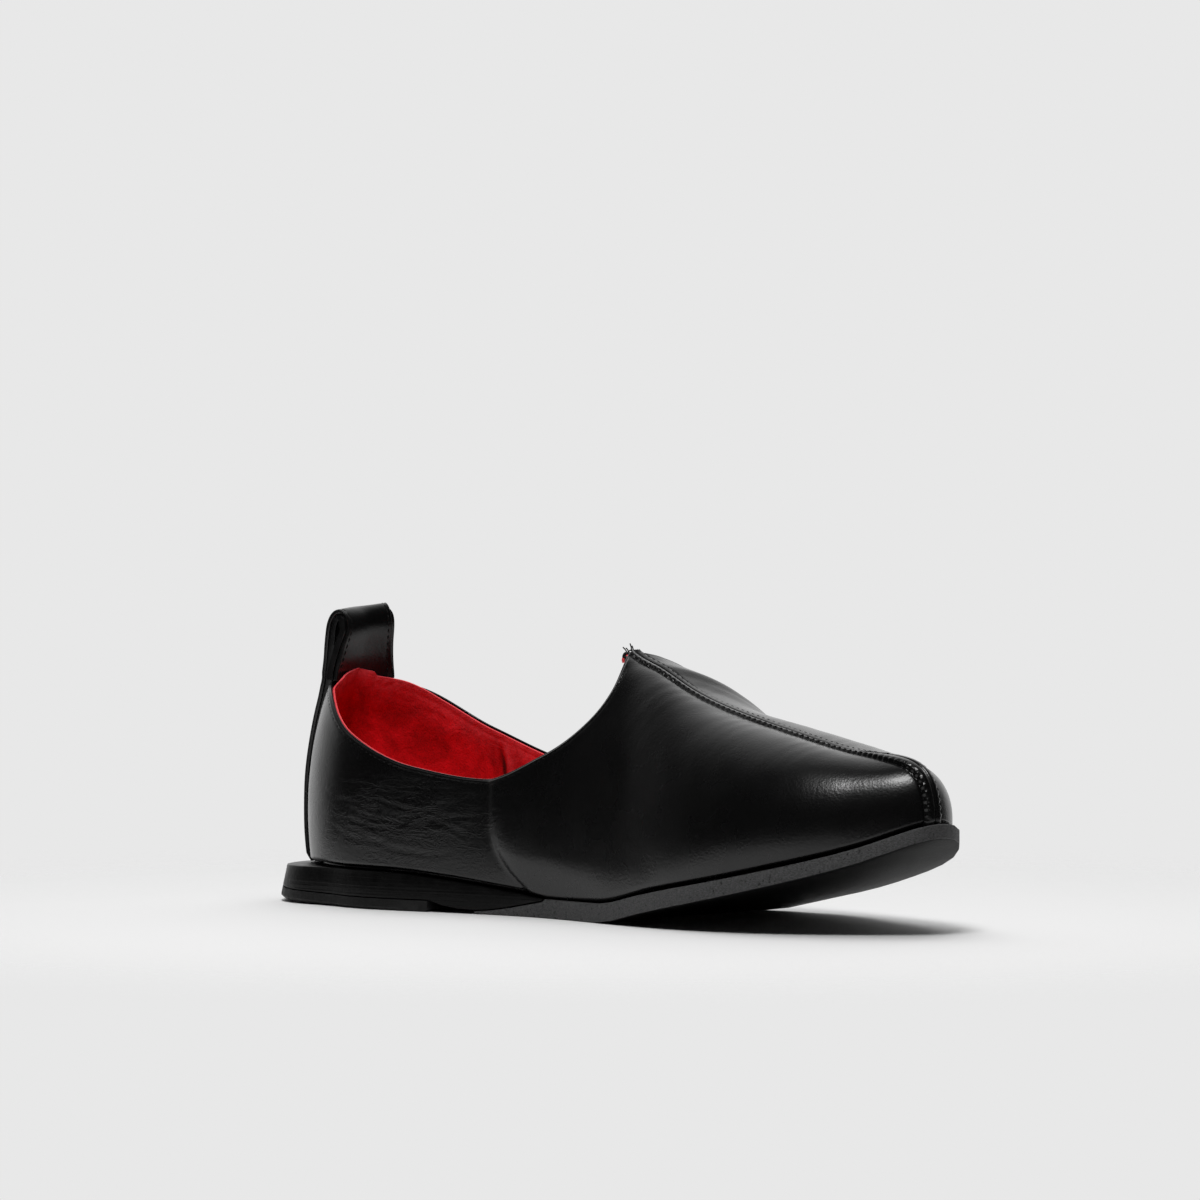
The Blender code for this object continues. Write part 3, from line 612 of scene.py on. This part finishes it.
# soft troughs with a low ridge on both sides, in millimetres along the outward heading
def creaseShape(side, grid):
    total = np.zeros(grid.shape[:2])
    flat = grid[..., [0, 2]]
    for sideOf, a0, u0, a1, u1, bow, depth, width in creases:
        if sideOf != side:
            continue
        t = np.linspace(0, 1, 9)
        line = np.stack([a0 + (a1 - a0) * t, u0 + (u1 - u0) * t], axis=-1)
        across = np.array([-(u1 - u0), a1 - a0]) / np.hypot(a1 - a0, u1 - u0)
        line += across * (bow * 4 * t * (1 - t))[:, None]
        gap, run = nearestOn(flat, line)
        share = run / runAlong(line)[-1]
        ends = ramp(0, 0.25, share) * ramp(0, 0.25, 1 - share)
        trough = bell(gap, width) - 0.45 * bell(gap - 1.9 * width, width)
        total -= depth / 2 * ends * trough
    return total


# the leather standing proud before the bend of the foot, all the way up to the collar
def shoulderShape(grid):
    ups, aheads = zip(*shoulder["line"])
    before = grid[..., 0] - steadyCurve(ups, aheads)(np.clip(grid[..., 2], ups[0], ups[-1]))
    bulge = (1 - np.exp(-np.maximum(before, 0) / shoulder["flank"])) * ramp(-1, 3, before)
    bulge *= 1 - ramp(12, shoulder["back"], before)
    bulge *= 0.45 + 0.55 * ramp(4, 20, grid[..., 2])
    return shoulder["rise"] * bulge * (1 - ramp(44, shoulder["top"], grid[..., 2]))


shares = columnShares(*upper["columns"])
peakIndex = upper["columns"][0] - 1
walls = {side: wallGrid(side, shares, upper["rows"]) for side in edges}
for side, wall in walls.items():
    walls[side] = wall + gridNormals(wall) * shoulderShape(wall)[..., None]
headings = {side: gridNormals(wall) for side, wall in walls.items()}
# both halves share their headings along the ridge, the toe and the heel, and so meet without a gap
for shared in ((slice(1, peakIndex + 1), -1), (0, slice(0, -1)), (-1, slice(None))):
    both = unit(headings["inner"][shared] + headings["outer"][shared])
    headings["inner"][shared] = headings["outer"][shared] = both
toeCorner = unit(headings["inner"][1, -1] + headings["inner"][0, -2])
for side in headings:
    headings[side][0, -1] = toeCorner
# the seam runs from the peak along the ridge to the toe and down to the sole
seamLine = np.concatenate([walls["inner"][peakIndex::-1, -1], walls["inner"][0, -2::-1]])
seamLength, ridgeLength = runAlong(seamLine)[-1], runAlong(seamLine[: peakIndex + 1])[-1]
# of each place: distance to the seam and to the collar, and how far along them that is
fields = {
    side: (*nearestOn(wall, seamLine), *nearestOn(wall, wall[peakIndex:, -1])) for side, wall in walls.items()
}
print("last shaped")


# how far from the seam its stitching runs: wider round the top of the toe
def seamRowAt(seamRun):
    return upper["seamRow"] + upper["toeRow"] * bell(seamRun - ridgeLength - 6, 8)


# how far the leather stands proud of the last at each place
def outerShape(side):
    wall = walls[side]
    seamGap, seamRun, collarGap, collarRun = fields[side]
    toe = ramp(ridgeLength * 0.88, ridgeLength * 1.02, seamRun)
    row, pitch = seamRowAt(seamRun), upper["stitch"]
    uneven = 1 + 0.35 * np.sin(seamRun * 0.9 + (side == "inner")) * np.sin(seamRun * 0.37)
    beat = np.cos(2 * np.pi * seamRun / pitch) * uneven
    gap = seamGap + upper["waver"] * beat * bell(seamGap - row, 0.9)
    past = np.maximum(seamGap - row, 0)
    shape = upper["seamRise"] * (1 + 0.3 * toe) * (1 - ramp(row - 0.6, row + 0.15, gap))
    shape -= (upper["seamDent"] + 0.25 * toe) * bell(seamGap - row + 0.7, 0.5) * (0.5 + 0.5 * beat)
    shape -= upper["seamFurrow"] * bell(gap - row - 0.3, 0.35)
    shape += (0.1 + 0.15 * toe) * np.clip(1 - ((seamGap - row / 2) / (row / 2)) ** 2, 0, 1)
    shape -= (upper["seamGroove"] + 0.25 * toe) * bell(seamGap, 0.32)
    shape -= 0.03 * np.exp(-past / 1.5) * ramp(row - 0.2, row + 0.4, seamGap) * beat
    pull = np.sin(2 * np.pi * seamRun / (3.1 * pitch) + 2.2 * np.sin(seamRun * 0.21) + 0.25 * seamGap)
    shape += upper["pucker"] * (1 - toe) * np.exp(-past / 9) * ramp(row, row + 3, seamGap) * pull
    behind = np.arange(len(wall))[:, None] > peakIndex
    collarBeat = np.cos(2 * np.pi * collarRun / upper["collarStitch"])
    stitched = bell(collarGap - upper["collarRow"], 0.4) * behind
    shape -= stitched * (upper["collarDent"] + 0.08 * collarBeat)
    shape -= upper["collarTurn"] * np.clip(1 - collarGap / 0.9, 0, 1) ** 2 * behind
    keep = ramp(2.5, 8.0, seamGap) * ramp(1.0, 6.0, collarGap)
    long, short = upper["unevenness"]
    body = creaseShape(side, wall) + long * smoothNoise(wall, 34, 3) + short * smoothNoise(wall, 12, 5)
    return shape + body * keep


shapedWalls, leathers = {}, {}
for side in walls:
    shapedWalls[side] = walls[side] + headings[side] * outerShape(side)[..., None]
    piece = sideGrid(f"{side}_vamp", shapedWalls[side], upperLeather)
    thicken(piece, upper["leather"])
    leathers[side] = finishPiece(piece)
print("leather wrapped over the last")

lining = {
    "thickness": 0.6,
    "glue": 0.15,  # between leather and lining
    "unevenness": (0.35, 0.08),  # of its hanging folds and of its pile
    "stitchRow": 2.4,  # furrow below the collar
    "jointAhead": 46,  # where a seam joins its two lengths
    "jointRise": 0.75,
    "jointFade": 7,
    # the doubled corner glued behind the strap: half its width, up and forward at the collar
    "cornerHalf": 12.5,
    "cornerUp": (1.3, 1.2),
    "cornerForward": (3.0, 0.6),
}


# one half of the lining: its places, and the light painted on it: a painted highlight along the collar, and
# painted shade with a painted highlight beside it at the joint
def liningHalf(side):
    places = walls[side] - headings[side] * (upper["leather"] + lining["glue"])
    seamGap, seamRun, collarGap, collarRun = fields[side]
    behind = np.arange(len(places))[:, None] > peakIndex
    folds, pile = lining["unevenness"]
    soft = folds * smoothNoise(places, 24, 11) + pile * smoothNoise(places, 7, 12)
    stitched = 0.2 * bell(collarGap - lining["stitchRow"], 0.5)
    free = ramp(0.5, 4, seamGap) * ramp(1.5, 9, collarGap)
    seam = places[..., 0] - lining["jointAhead"] + 0.12 * (places[..., 2] - 45)
    joint = lining["jointRise"] * ramp(-0.3, 0.9, seam) * np.exp(-np.maximum(seam, 0) / lining["jointFade"])
    places = places - headings[side] * (soft * free - stitched * behind + joint * free)[..., None]
    above = np.where(side == "inner", 0.45 * ramp(24, 40, places[..., 0]) - 0.2, -0.35)
    places[..., 2] += above * np.exp(-collarGap / 1.5) * behind
    offset = places[..., 1] - strap["middle"]
    start = lining["cornerHalf"]
    wide = (1 - ramp(start, start + 3 + 8 * (offset < 0), np.abs(offset))) * (places[..., 0] < 40)
    doubled = wide * ramp(-6.4, -5.7, offset)
    up, moreUp = lining["cornerUp"]
    forward, moreForward = lining["cornerForward"]
    places[..., 2] += (up * wide + moreUp * doubled) * np.exp(-collarGap / 3)
    places[..., 0] += (forward * wide + moreForward * doubled) * bell(collarGap, 8)
    # a painted highlight along the collar's edge, fading downwards
    paintedLight = np.exp(-collarGap / 5) * behind
    if side == "outer":
        # painted shade along the joint's step, with a painted highlight just ahead of it
        line = 0.5 * bell(seam - 2.2, 1.6) - 1.6 * bell(seam, 0.8)
        paintedLight = paintedLight + line * free * (seam > -4)
    return places, paintedLight


# the red lining inside both halves, closed along the ridge, the toe and the heel
def makeLining():
    lowest, count = len(last["tuck"]), walls["inner"].shape[1]  # the tucked rows go without a lining
    columns = np.unique(np.concatenate([np.arange(0, peakIndex, 3), np.arange(peakIndex, len(shares))]))
    rows = np.unique(np.append(np.arange(lowest, count, 2), [count - 1]))
    pieces = []
    for side in walls:
        places, paintedLight = (grid[columns][:, rows] for grid in liningHalf(side))
        piece = sideGrid(f"lining_{side}", places, suede)
        # the painted light and shade go to the suede's shader as an attribute
        paintedLightLayer = piece.data.attributes.new("paintedLight", "FLOAT", "POINT")
        paintedLightLayer.data.foreach_set("value", paintedLight.T.ravel().astype(np.float32))
        piece.data.materials.append(suedeEdgeAndHighlight)
        pieces.append(piece)
    selectOnly(*pieces)
    bpy.ops.object.join()
    joined = bpy.context.active_object
    joined.name = joined.data.name = "lining"
    editWhole(bpy.ops.mesh.remove_doubles, threshold=2e-5)
    thicken(joined, lining["thickness"], 1)
    finishPiece(joined)


# a round cord along a line of places
def makeTube(name, line, radius, finish, closed=False):
    cord = addFresh(name, bpy.ops.curve.primitive_nurbs_path_add)
    cord.data.splines.clear()
    spline = cord.data.splines.new("POLY")
    spline.points.add(len(line) - 1)
    spots = np.column_stack([toWorld(line), np.ones(len(line))])
    spline.points.foreach_set("co", spots.ravel().astype(np.float32))
    spline.use_cyclic_u = closed
    cord.data.bevel_depth, cord.data.bevel_resolution, cord.data.use_fill_caps = radius * mm, 3, True
    cord.data.resolution_u = 1
    bpy.ops.object.convert(target="MESH")
    piece = bpy.context.active_object
    piece.data.materials.append(finish)
    finishPiece(piece)


bead = {"inward": 0.8, "down": 0.1, "radius": 0.36}  # the collar's rolled edge, beside the wall's top line


# the rolled black edge of the collar, from the peak round the heel and back
def makeCollarBead():
    ends = slice(peakIndex, None), -1
    inner, outer = (walls[side][ends] - headings[side][ends] * bead["inward"] for side in walls)
    line = np.concatenate([inner, outer[-2:0:-1]])
    line[:, 2] -= bead["down"]
    makeTube("collar_bead", line, bead["radius"], strapLeather, closed=True)


makeLining()
makeCollarBead()

peak = {
    "knot": (1.9, 0.95, 2.5),  # half its size: ahead, across, up
    "speckRadius": 0.55,
    "threadRadius": 0.2,
    # bends of the speck of lining and of the cut thread ends, from the top of the seam
    "speck": [(-2.3, 1.2, -2.0), (-2.3, 1.35, -2.7), (-2.1, 1.2, -3.4)],
    "threads": [
        [(-1.6, 0.6, 0.0), (-2.0, 0.7, 0.8), (-2.9, 0.9, 1.4)],
        [(-1.0, 0.4, 0.1), (-1.3, 0.5, 0.9), (-2.2, 0.2, 1.1)],
        [(0.2, 0.4, 0.2), (0.3, 0.2, 1.3), (-0.6, 0.1, 2.6)],
        [(0.9, 0.2, 0.1), (0.7, 0.0, 1.1), (0.0, -0.2, 1.9)],
        [(-0.6, 0.8, 0.0), (0.2, 0.9, 0.9), (1.2, 0.8, 0.5)],
    ],
}


# the folded corner of the collar at the peak, with its cut thread ends and a speck of lining
def makePeak():
    top = walls["inner"][peakIndex, -1]
    fold = addFresh("peak_fold", bpy.ops.mesh.primitive_uv_sphere_add, segments=32, ring_count=20, radius=1)
    ball = np.array([v.co for v in fold.data.vertices])
    shape = np.sign(ball) * np.abs(ball) ** 0.75
    lower = ramp(0.2, -1, shape[:, 2])
    long, wide, high = peak["knot"]
    ahead = shape[:, 0] * (long - 0.8 * lower) - 1.0 * (1 - lower) - 0.25
    across = shape[:, 1] * wide + 0.5 + 0.2 * np.sin(shape[:, 2] * 3)
    places = np.stack([ahead, across, shape[:, 2] * high - 2.4], axis=-1) + top
    fold.data.vertices.foreach_set("co", toWorld(places).ravel().astype(np.float32))
    fold.data.materials.append(paintedEdge)
    editWhole(bpy.ops.mesh.normals_make_consistent, inside=False)
    finishPiece(fold)
    makeTube("peak_lining", top + np.array(peak["speck"]), peak["speckRadius"], suedeEdgeAndHighlight)
    t = np.linspace(0, 1, 7)[:, None]
    for number, line in enumerate(peak["threads"]):
        first, second, third = np.array(line)
        curve = first * (1 - t) ** 2 + 2 * second * t * (1 - t) + third * t**2
        makeTube(f"thread_end_{number}", top + curve, peak["threadRadius"], blackThread)


makePeak()
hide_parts("upper")
print("lining sewn in")


# the upper's outline round the heel at a height, from the outer side to the inner
def heelSection(height):
    tucked, sides = len(last["tuck"]), {}
    for side, wall in walls.items():
        columns = wall[-strap["heelColumns"] :, tucked:]
        sides[side] = np.array([[np.interp(height, c[:, 2], c[:, i]) for i in (0, 1)] for c in columns])
    return np.concatenate([sides["outer"], sides["inner"][-2::-1]])


# the band's places at a height on the heel and their outward headings, in plan
def bandOnHeel(height, widths):
    section = heelSection(height)
    run = runAlong(section)
    run -= run[len(section) // 2]

    def at(widths):
        return np.stack([np.interp(widths, run, section[:, i]) for i in (0, 1)], axis=-1)

    along = unit(at(widths + 4) - at(widths - 4))
    return at(widths), np.stack([-along[:, 1], along[:, 0]], axis=-1)


# the band's middle surface and its outward headings: a row for each step up the heel and round the loop
def strapPlaces():
    widths = np.linspace(-0.5, 0.5, strap["columns"]) * strap["width"]
    half = strap["thickness"] / 2
    rows, facings = [], []

    def addRow(spots, turned, forward, up, facing):
        middle = spots + turned * (strap["gap"] + half) + np.array([forward, 0])
        rows.append(np.column_stack([middle, np.zeros(len(middle)) + up]))
        facings.append(np.column_stack([turned * facing[0], np.full(len(middle), facing[1])]))

    foot = soleHeight(0.0) + strap["foot"]
    for height in np.linspace(foot, last["collarBack"], strap["heelRows"])[:-1]:
        tucked = 2.2 * (1 - ramp(0, 3.5, height - foot)) ** 2
        loose = strap["loop"][0][0] * ramp(-9, 0, height - last["collarBack"])
        addRow(*bandOnHeel(max(height, foot + last["underUpper"]), widths), tucked + loose, height, (1, 0))
    path = np.array(strap["loop"], float)
    stations = runAlong(path[:, :2])
    forward, up = naturalCurve(stations, path[:, 0]), naturalCurve(stations, path[:, 1])
    curl, share = steadyCurve(stations, path[:, 2]), steadyCurve(stations, path[:, 3])
    for at in np.linspace(0, stations[-1], strap["loopRows"]):
        heading = unit(np.array([curve(at + 0.01) - curve(at - 0.01) for curve in (forward, up)]))
        spots, turned = bandOnHeel(last["collarBack"], widths * share(at))
        back = spots[len(spots) // 2, 0]
        curled = np.column_stack([back + (spots[:, 0] - back) * curl(at), spots[:, 1]])
        turned = unit(turned * (curl(at), 1))
        tilted = up(at) - strap["tilt"] * ramp(0, 14, up(at)) * widths / strap["width"]
        addRow(curled, turned, forward(at), last["collarBack"] + tilted, (heading[1], heading[0]))
    return np.array(rows), np.array(facings)


# one ply of the band with rounded, painted edges
def strapPly(name, places, thickness):
    columns, rows = places.shape[:2]
    piece = gridOver(name, places)
    onHeel = piece.data.polygons[(rows // 2) * (columns - 1) + 8]
    if onHeel.normal.y < 0:
        editWhole(bpy.ops.mesh.flip_normals)
    piece.data.materials.append(strapLeather)
    piece.data.materials.append(paintedEdge)
    thicken(piece, thickness, 1)
    roundEdges(piece, strap["rounding"], 3)
    return piece


# two plies, one behind the other, so that the strap's edge shows the line between them
def makeStrap():
    middle, facing = strapPlaces()
    facing = unit(facing)
    ply = (strap["thickness"] - strap["parting"]) / 2
    soft = strap["unevenness"] * smoothNoise(middle, 22, 21)
    outer = middle + facing * (strap["thickness"] / 2 + soft)[..., None]
    width = (np.linspace(-0.5, 0.5, middle.shape[1]) * strap["width"])[None, :]
    inEdge = strap["width"] / 2 - np.abs(width)
    beat = np.cos(2 * np.pi * runAlong(outer[:, 0])[:, None] / strap["stitch"])
    dent = strap["dent"] * bell(inEdge - strap["edgeRow"], 0.6) * (0.7 + 0.3 * beat)
    front = strapPly("pull_strap", outer - facing * dent[..., None], ply)
    back = strapPly("strap_ply", middle - facing * (strap["parting"] / 2), ply * strap["backPly"])
    selectOnly(front, back)
    bpy.ops.object.join()
    piece = finishPiece(bpy.context.active_object)
    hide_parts("back_strap")
    return outer, facing


strapOuter, strapFacing = makeStrap()
print("strap folded into its loop")

stitching = {
    "length": 1.7,
    "radius": 0.24,
    "sink": 0.7,  # share of the radius that is pulled in
    "collar": 0.7,  # size of the collar's stitches beside the others
    "seamInset": 0.6,  # how far inside the raised leather's edge the seam's stitches lie
    "toeEnd": 3.5,  # where they stop above the sole
}


# one thread stitch, modelled once and laid at every spot
def makeStitches(name, rows, sizes=None):
    spots, ways, facings = (np.concatenate(parts) for parts in zip(*rows))
    sizes = np.ones(len(spots)) if sizes is None else sizes
    length, radius, sink = stitching["length"], stitching["radius"], stitching["sink"]
    model = addFresh("stitch", bpy.ops.mesh.primitive_uv_sphere_add, segments=6, ring_count=6, radius=1)
    editWhole(bpy.ops.transform.resize, value=(radius * mm, radius * mm, length / 2 * mm))
    shape = np.array([v.co for v in model.data.vertices]) / mm
    ends = np.abs(shape[:, 2]) / (length / 2)
    faces = [list(p.vertices) for p in model.data.polygons]
    bpy.data.objects.remove(model)
    along = unit(ways)
    up = unit(facings - (facings * along).sum(1, keepdims=True) * along)
    aside = np.cross(along, up)
    points, allFaces = [], []
    for i in range(len(spots)):
        lift = radius * (0.55 - sink) - 0.9 * radius * ends**2
        local = aside[i] * shape[:, :1] + up[i] * (shape[:, 1:2] + lift[:, None])
        local = local * sizes[i] + along[i] * shape[:, 2:3] * sizes[i] ** 0.5
        allFaces += [[v + len(points) * len(shape) for v in face] for face in faces]
        points.append(spots[i] + local)
    mesh = bpy.data.meshes.new(name)
    mesh.from_pydata(toWorld(np.concatenate(points)).tolist(), [], allFaces)
    piece = newPiece(name, mesh, blackThread)
    editWhole(bpy.ops.mesh.normals_make_consistent, inside=False)
    finishPiece(piece, 70, merge=1e-7)


# a line on the leather at a steady distance from a seam, with its outward headings
def rowBeside(side, gap, run, value, keep):
    grid, facing = shapedWalls[side], headings[side]
    spots, ways, runs = [], [], []
    for turned in (True, False):
        g, r, k, p, f = (each.swapaxes(0, 1) if turned else each for each in (gap, run, keep, grid, facing))
        cross = (g[:, :-1] - value) * (g[:, 1:] - value) < 0
        cross &= k[:, :-1] & k[:, 1:] & (np.abs(r[:, :-1] - r[:, 1:]) < 3)
        i, j = np.nonzero(cross)
        t = ((value - g[i, j]) / (g[i, j + 1] - g[i, j]))[:, None]
        spots.append(p[i, j] * (1 - t) + p[i, j + 1] * t)
        ways.append(f[i, j] * (1 - t) + f[i, j + 1] * t)
        runs.append(r[i, j] * (1 - t[:, 0]) + r[i, j + 1] * t[:, 0])
    spots, ways, runs = np.concatenate(spots), np.concatenate(ways), np.concatenate(runs)
    order = np.argsort(runs)
    return spots[order], ways[order], runs[order]


# evenly spaced stitches along a line: their places, directions and outward headings
def stitchLine(spots, ways, runs, pitch, smooth=1.2):
    steps = np.arange(runs[0] + pitch / 2, runs[-1] - pitch / 2, pitch * 0.25)
    weights = bell(steps[:, None] - runs[None, :], smooth)
    weights /= weights.sum(1, keepdims=True)
    line, facing = weights @ spots, weights @ ways
    run = runAlong(line)
    even = np.arange(pitch / 2, run[-1], pitch)

    def at(runs, values):
        return np.stack([np.interp(runs, run, values[:, i]) for i in range(3)], axis=-1)

    return at(even, line), at(even + 0.5, line) - at(even - 0.5, line), unit(at(even, facing))


columnNumbers = np.broadcast_to(np.arange(len(shares))[:, None], walls["inner"].shape[:2])
behindPeak, aheadOfPeak = columnNumbers > peakIndex, columnNumbers < peakIndex - 3
for side in walls:
    seamGap, seamRun, collarGap, collarRun = fields[side]
    seamKeep = aheadOfPeak & (seamRun < seamLength - stitching["toeEnd"])
    seamRow = rowBeside(side, seamGap - seamRowAt(seamRun), seamRun, -stitching["seamInset"], seamKeep)
    collarRow = rowBeside(side, collarGap, collarRun, upper["collarRow"], behindPeak & (seamGap > 4))
    rows = [stitchLine(*seamRow, upper["stitch"]), stitchLine(*collarRow, upper["collarStitch"])]
    sizes = np.repeat([1, stitching["collar"]], [len(row[0]) for row in rows])
    makeStitches(f"{side}_stitches", rows, sizes)


# one row inside each edge of the strap
def strapStitches():
    rows = []
    count = strapOuter.shape[1]
    for share in (strap["edgeRow"] / strap["width"], 1 - strap["edgeRow"] / strap["width"]):
        at = share * (count - 1)
        low = int(at)
        line = strapOuter[:, low] * (1 - at + low) + strapOuter[:, low + 1] * (at - low)
        rows.append(stitchLine(line[1:-1], strapFacing[1:-1, low], runAlong(line)[1:-1], strap["stitch"]))
    makeStitches("strap_stitches", rows)


strapStitches()
print("stitched")


# a cleaned copy of a solid, shaded smooth, that stands for it
def fromNode(node, name, finish, smoothAngle=38, rounding=0):
    piece = newPiece(name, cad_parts[node].data.copy(), finish)
    editWhole(bpy.ops.mesh.remove_doubles, threshold=2e-5)
    bpy.ops.mesh.customdata_custom_splitnormals_clear()
    if rounding:
        roundEdges(piece, rounding, 2)
    finishPiece(piece, smoothAngle)
    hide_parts(node)
    return piece


# gives a second finish to the faces that pass a test on their heading
def faceFinish(piece, finish, test):
    piece.data.materials.append(finish)
    index = len(piece.data.materials) - 1
    for face in piece.data.polygons:
        if test(face):
            face.material_index = index


outsole = fromNode("outsole", "outsole_leather", cutEdge, rounding=0.35)
faceFinish(outsole, underside, lambda face: face.normal.z < -0.6)
fromNode("heel_wedge", "heel_wedge_leather", stacked)
fromNode("heel_lift", "heel_lift_rubber", liftRubber)
sock = fromNode("insole", "sock_lining", suede)
faceFinish(sock, paintedEdge, lambda face: face.normal.z < 0.5)
print("sole pieces finished")

room = {
    "floorColour": 0.84,
    "floorReach": (0.12, 0.36),  # where the floor starts and ends to fade into the backdrop, metres
    "backdrop": 0.807,
    "darkSide": 0.02,  # the room behind the camera
    "brightSide": 1.15,  # the lit wall behind the shoe
    "wallHeading": (0.66, 0.66, 0.35),  # towards the lit wall
    "glow": (0.46, 1.0),  # how squarely a direction faces the wall: where its light starts, where it is full
    "softbox": {"place": (-0.60, -0.40, 1.33), "size": 0.42, "power": 10.5},
    "fill": {"place": (0.25, 0.3, 2.0), "size": 1.8, "power": 21},
    "lightAim": (0, 0, 0.03),
}
view = {
    "azimuth": -47.3,
    "elevation": 3.3,
    "distance": 3.0,
    "lens": 285,
    "sensor": 36,
    "middle": (-0.0018, -0.0054, 0.040),  # the shoe's middle
    "aimLeft": 0.01358,  # how far beside and above it the camera aims
    "aimUp": 0.05968,
}


# a pale floor that fades into the backdrop
def makeFloor():
    near, far = room["floorReach"]
    floor = addFresh("floor", bpy.ops.mesh.primitive_circle_add, vertices=96, radius=far, fill_type="NGON")
    colour = (room["floorColour"],) * 3
    made, tree, shader, place = newMaterial("pale_floor", colour, 0.9, Specular_IOR_Level=0.1)
    distance = addNode(tree, "ShaderNodeVectorMath", {0: place}, operation="LENGTH").outputs["Value"]
    fade = addNode(tree, "ShaderNodeMapRange", {"Value": distance, "From Min": near, "From Max": far})
    fade.interpolation_type = "SMOOTHSTEP"
    clear = addNode(tree, "ShaderNodeBsdfTransparent").outputs[0]
    mixed = addNode(tree, "ShaderNodeMixShader", {0: fade.outputs["Result"], 1: shader.outputs[0], 2: clear})
    tree.links.new(mixed.outputs[0], tree.nodes["Material Output"].inputs["Surface"])
    floor.data.materials.append(made)


# a lit wall behind the shoe and a dark room in front, with one even backdrop colour to look at
def makeWorld():
    world = bpy.data.worlds.new("studio")
    bpy.context.scene.world = world
    world.use_nodes = True
    tree = world.node_tree
    heading = addNode(tree, "ShaderNodeTexCoord").outputs["Generated"]
    wall = Vector(room["wallHeading"]).normalized()
    facing = addNode(tree, "ShaderNodeVectorMath", {0: heading, 1: wall}, operation="DOT_PRODUCT")
    glow = rangeOf(tree, facing.outputs["Value"], room["darkSide"], room["brightSide"], *room["glow"])
    seen = addNode(tree, "ShaderNodeLightPath").outputs["Is Camera Ray"]
    shown = addNode(tree, "ShaderNodeMix", {"Factor": seen, "A": glow, "B": room["backdrop"]})
    tree.links.new(shown.outputs["Result"], tree.nodes["Background"].inputs["Color"])


def addLight(name, place, size, power):
    light = addFresh(name, bpy.ops.object.light_add, type="AREA", location=place)
    light.data.energy, light.data.size = power, size
    light.rotation_euler = (Vector(room["lightAim"]) - Vector(place)).to_track_quat("-Z", "Y").to_euler()
    return light


# looks at the inner side of the toe end, almost level with the shoe
def makeCamera():
    azimuth, elevation = radians(view["azimuth"]), radians(view["elevation"])
    level = np.cos(elevation)
    back = Vector((np.sin(azimuth) * level, -np.cos(azimuth) * level, np.sin(elevation)))
    right = Vector((np.cos(azimuth), np.sin(azimuth), 0))
    up = back.cross(right)
    place = Vector(view["middle"]) + back * view["distance"]
    aim = Vector(view["middle"]) - right * view["aimLeft"] + up * view["aimUp"]
    bpy.ops.object.camera_add(location=place)
    camera = bpy.context.active_object
    camera.rotation_euler = (place - aim).to_track_quat("Z", "Y").to_euler()
    camera.data.sensor_width, camera.data.lens, camera.data.clip_end = view["sensor"], view["lens"], 50
    bpy.context.scene.camera = camera


makeFloor()
makeWorld()
addLight("softbox", **room["softbox"])
addLight("fill", **room["fill"]).visible_glossy = False
makeCamera()
bpy.context.scene.view_settings.view_transform = "Standard"
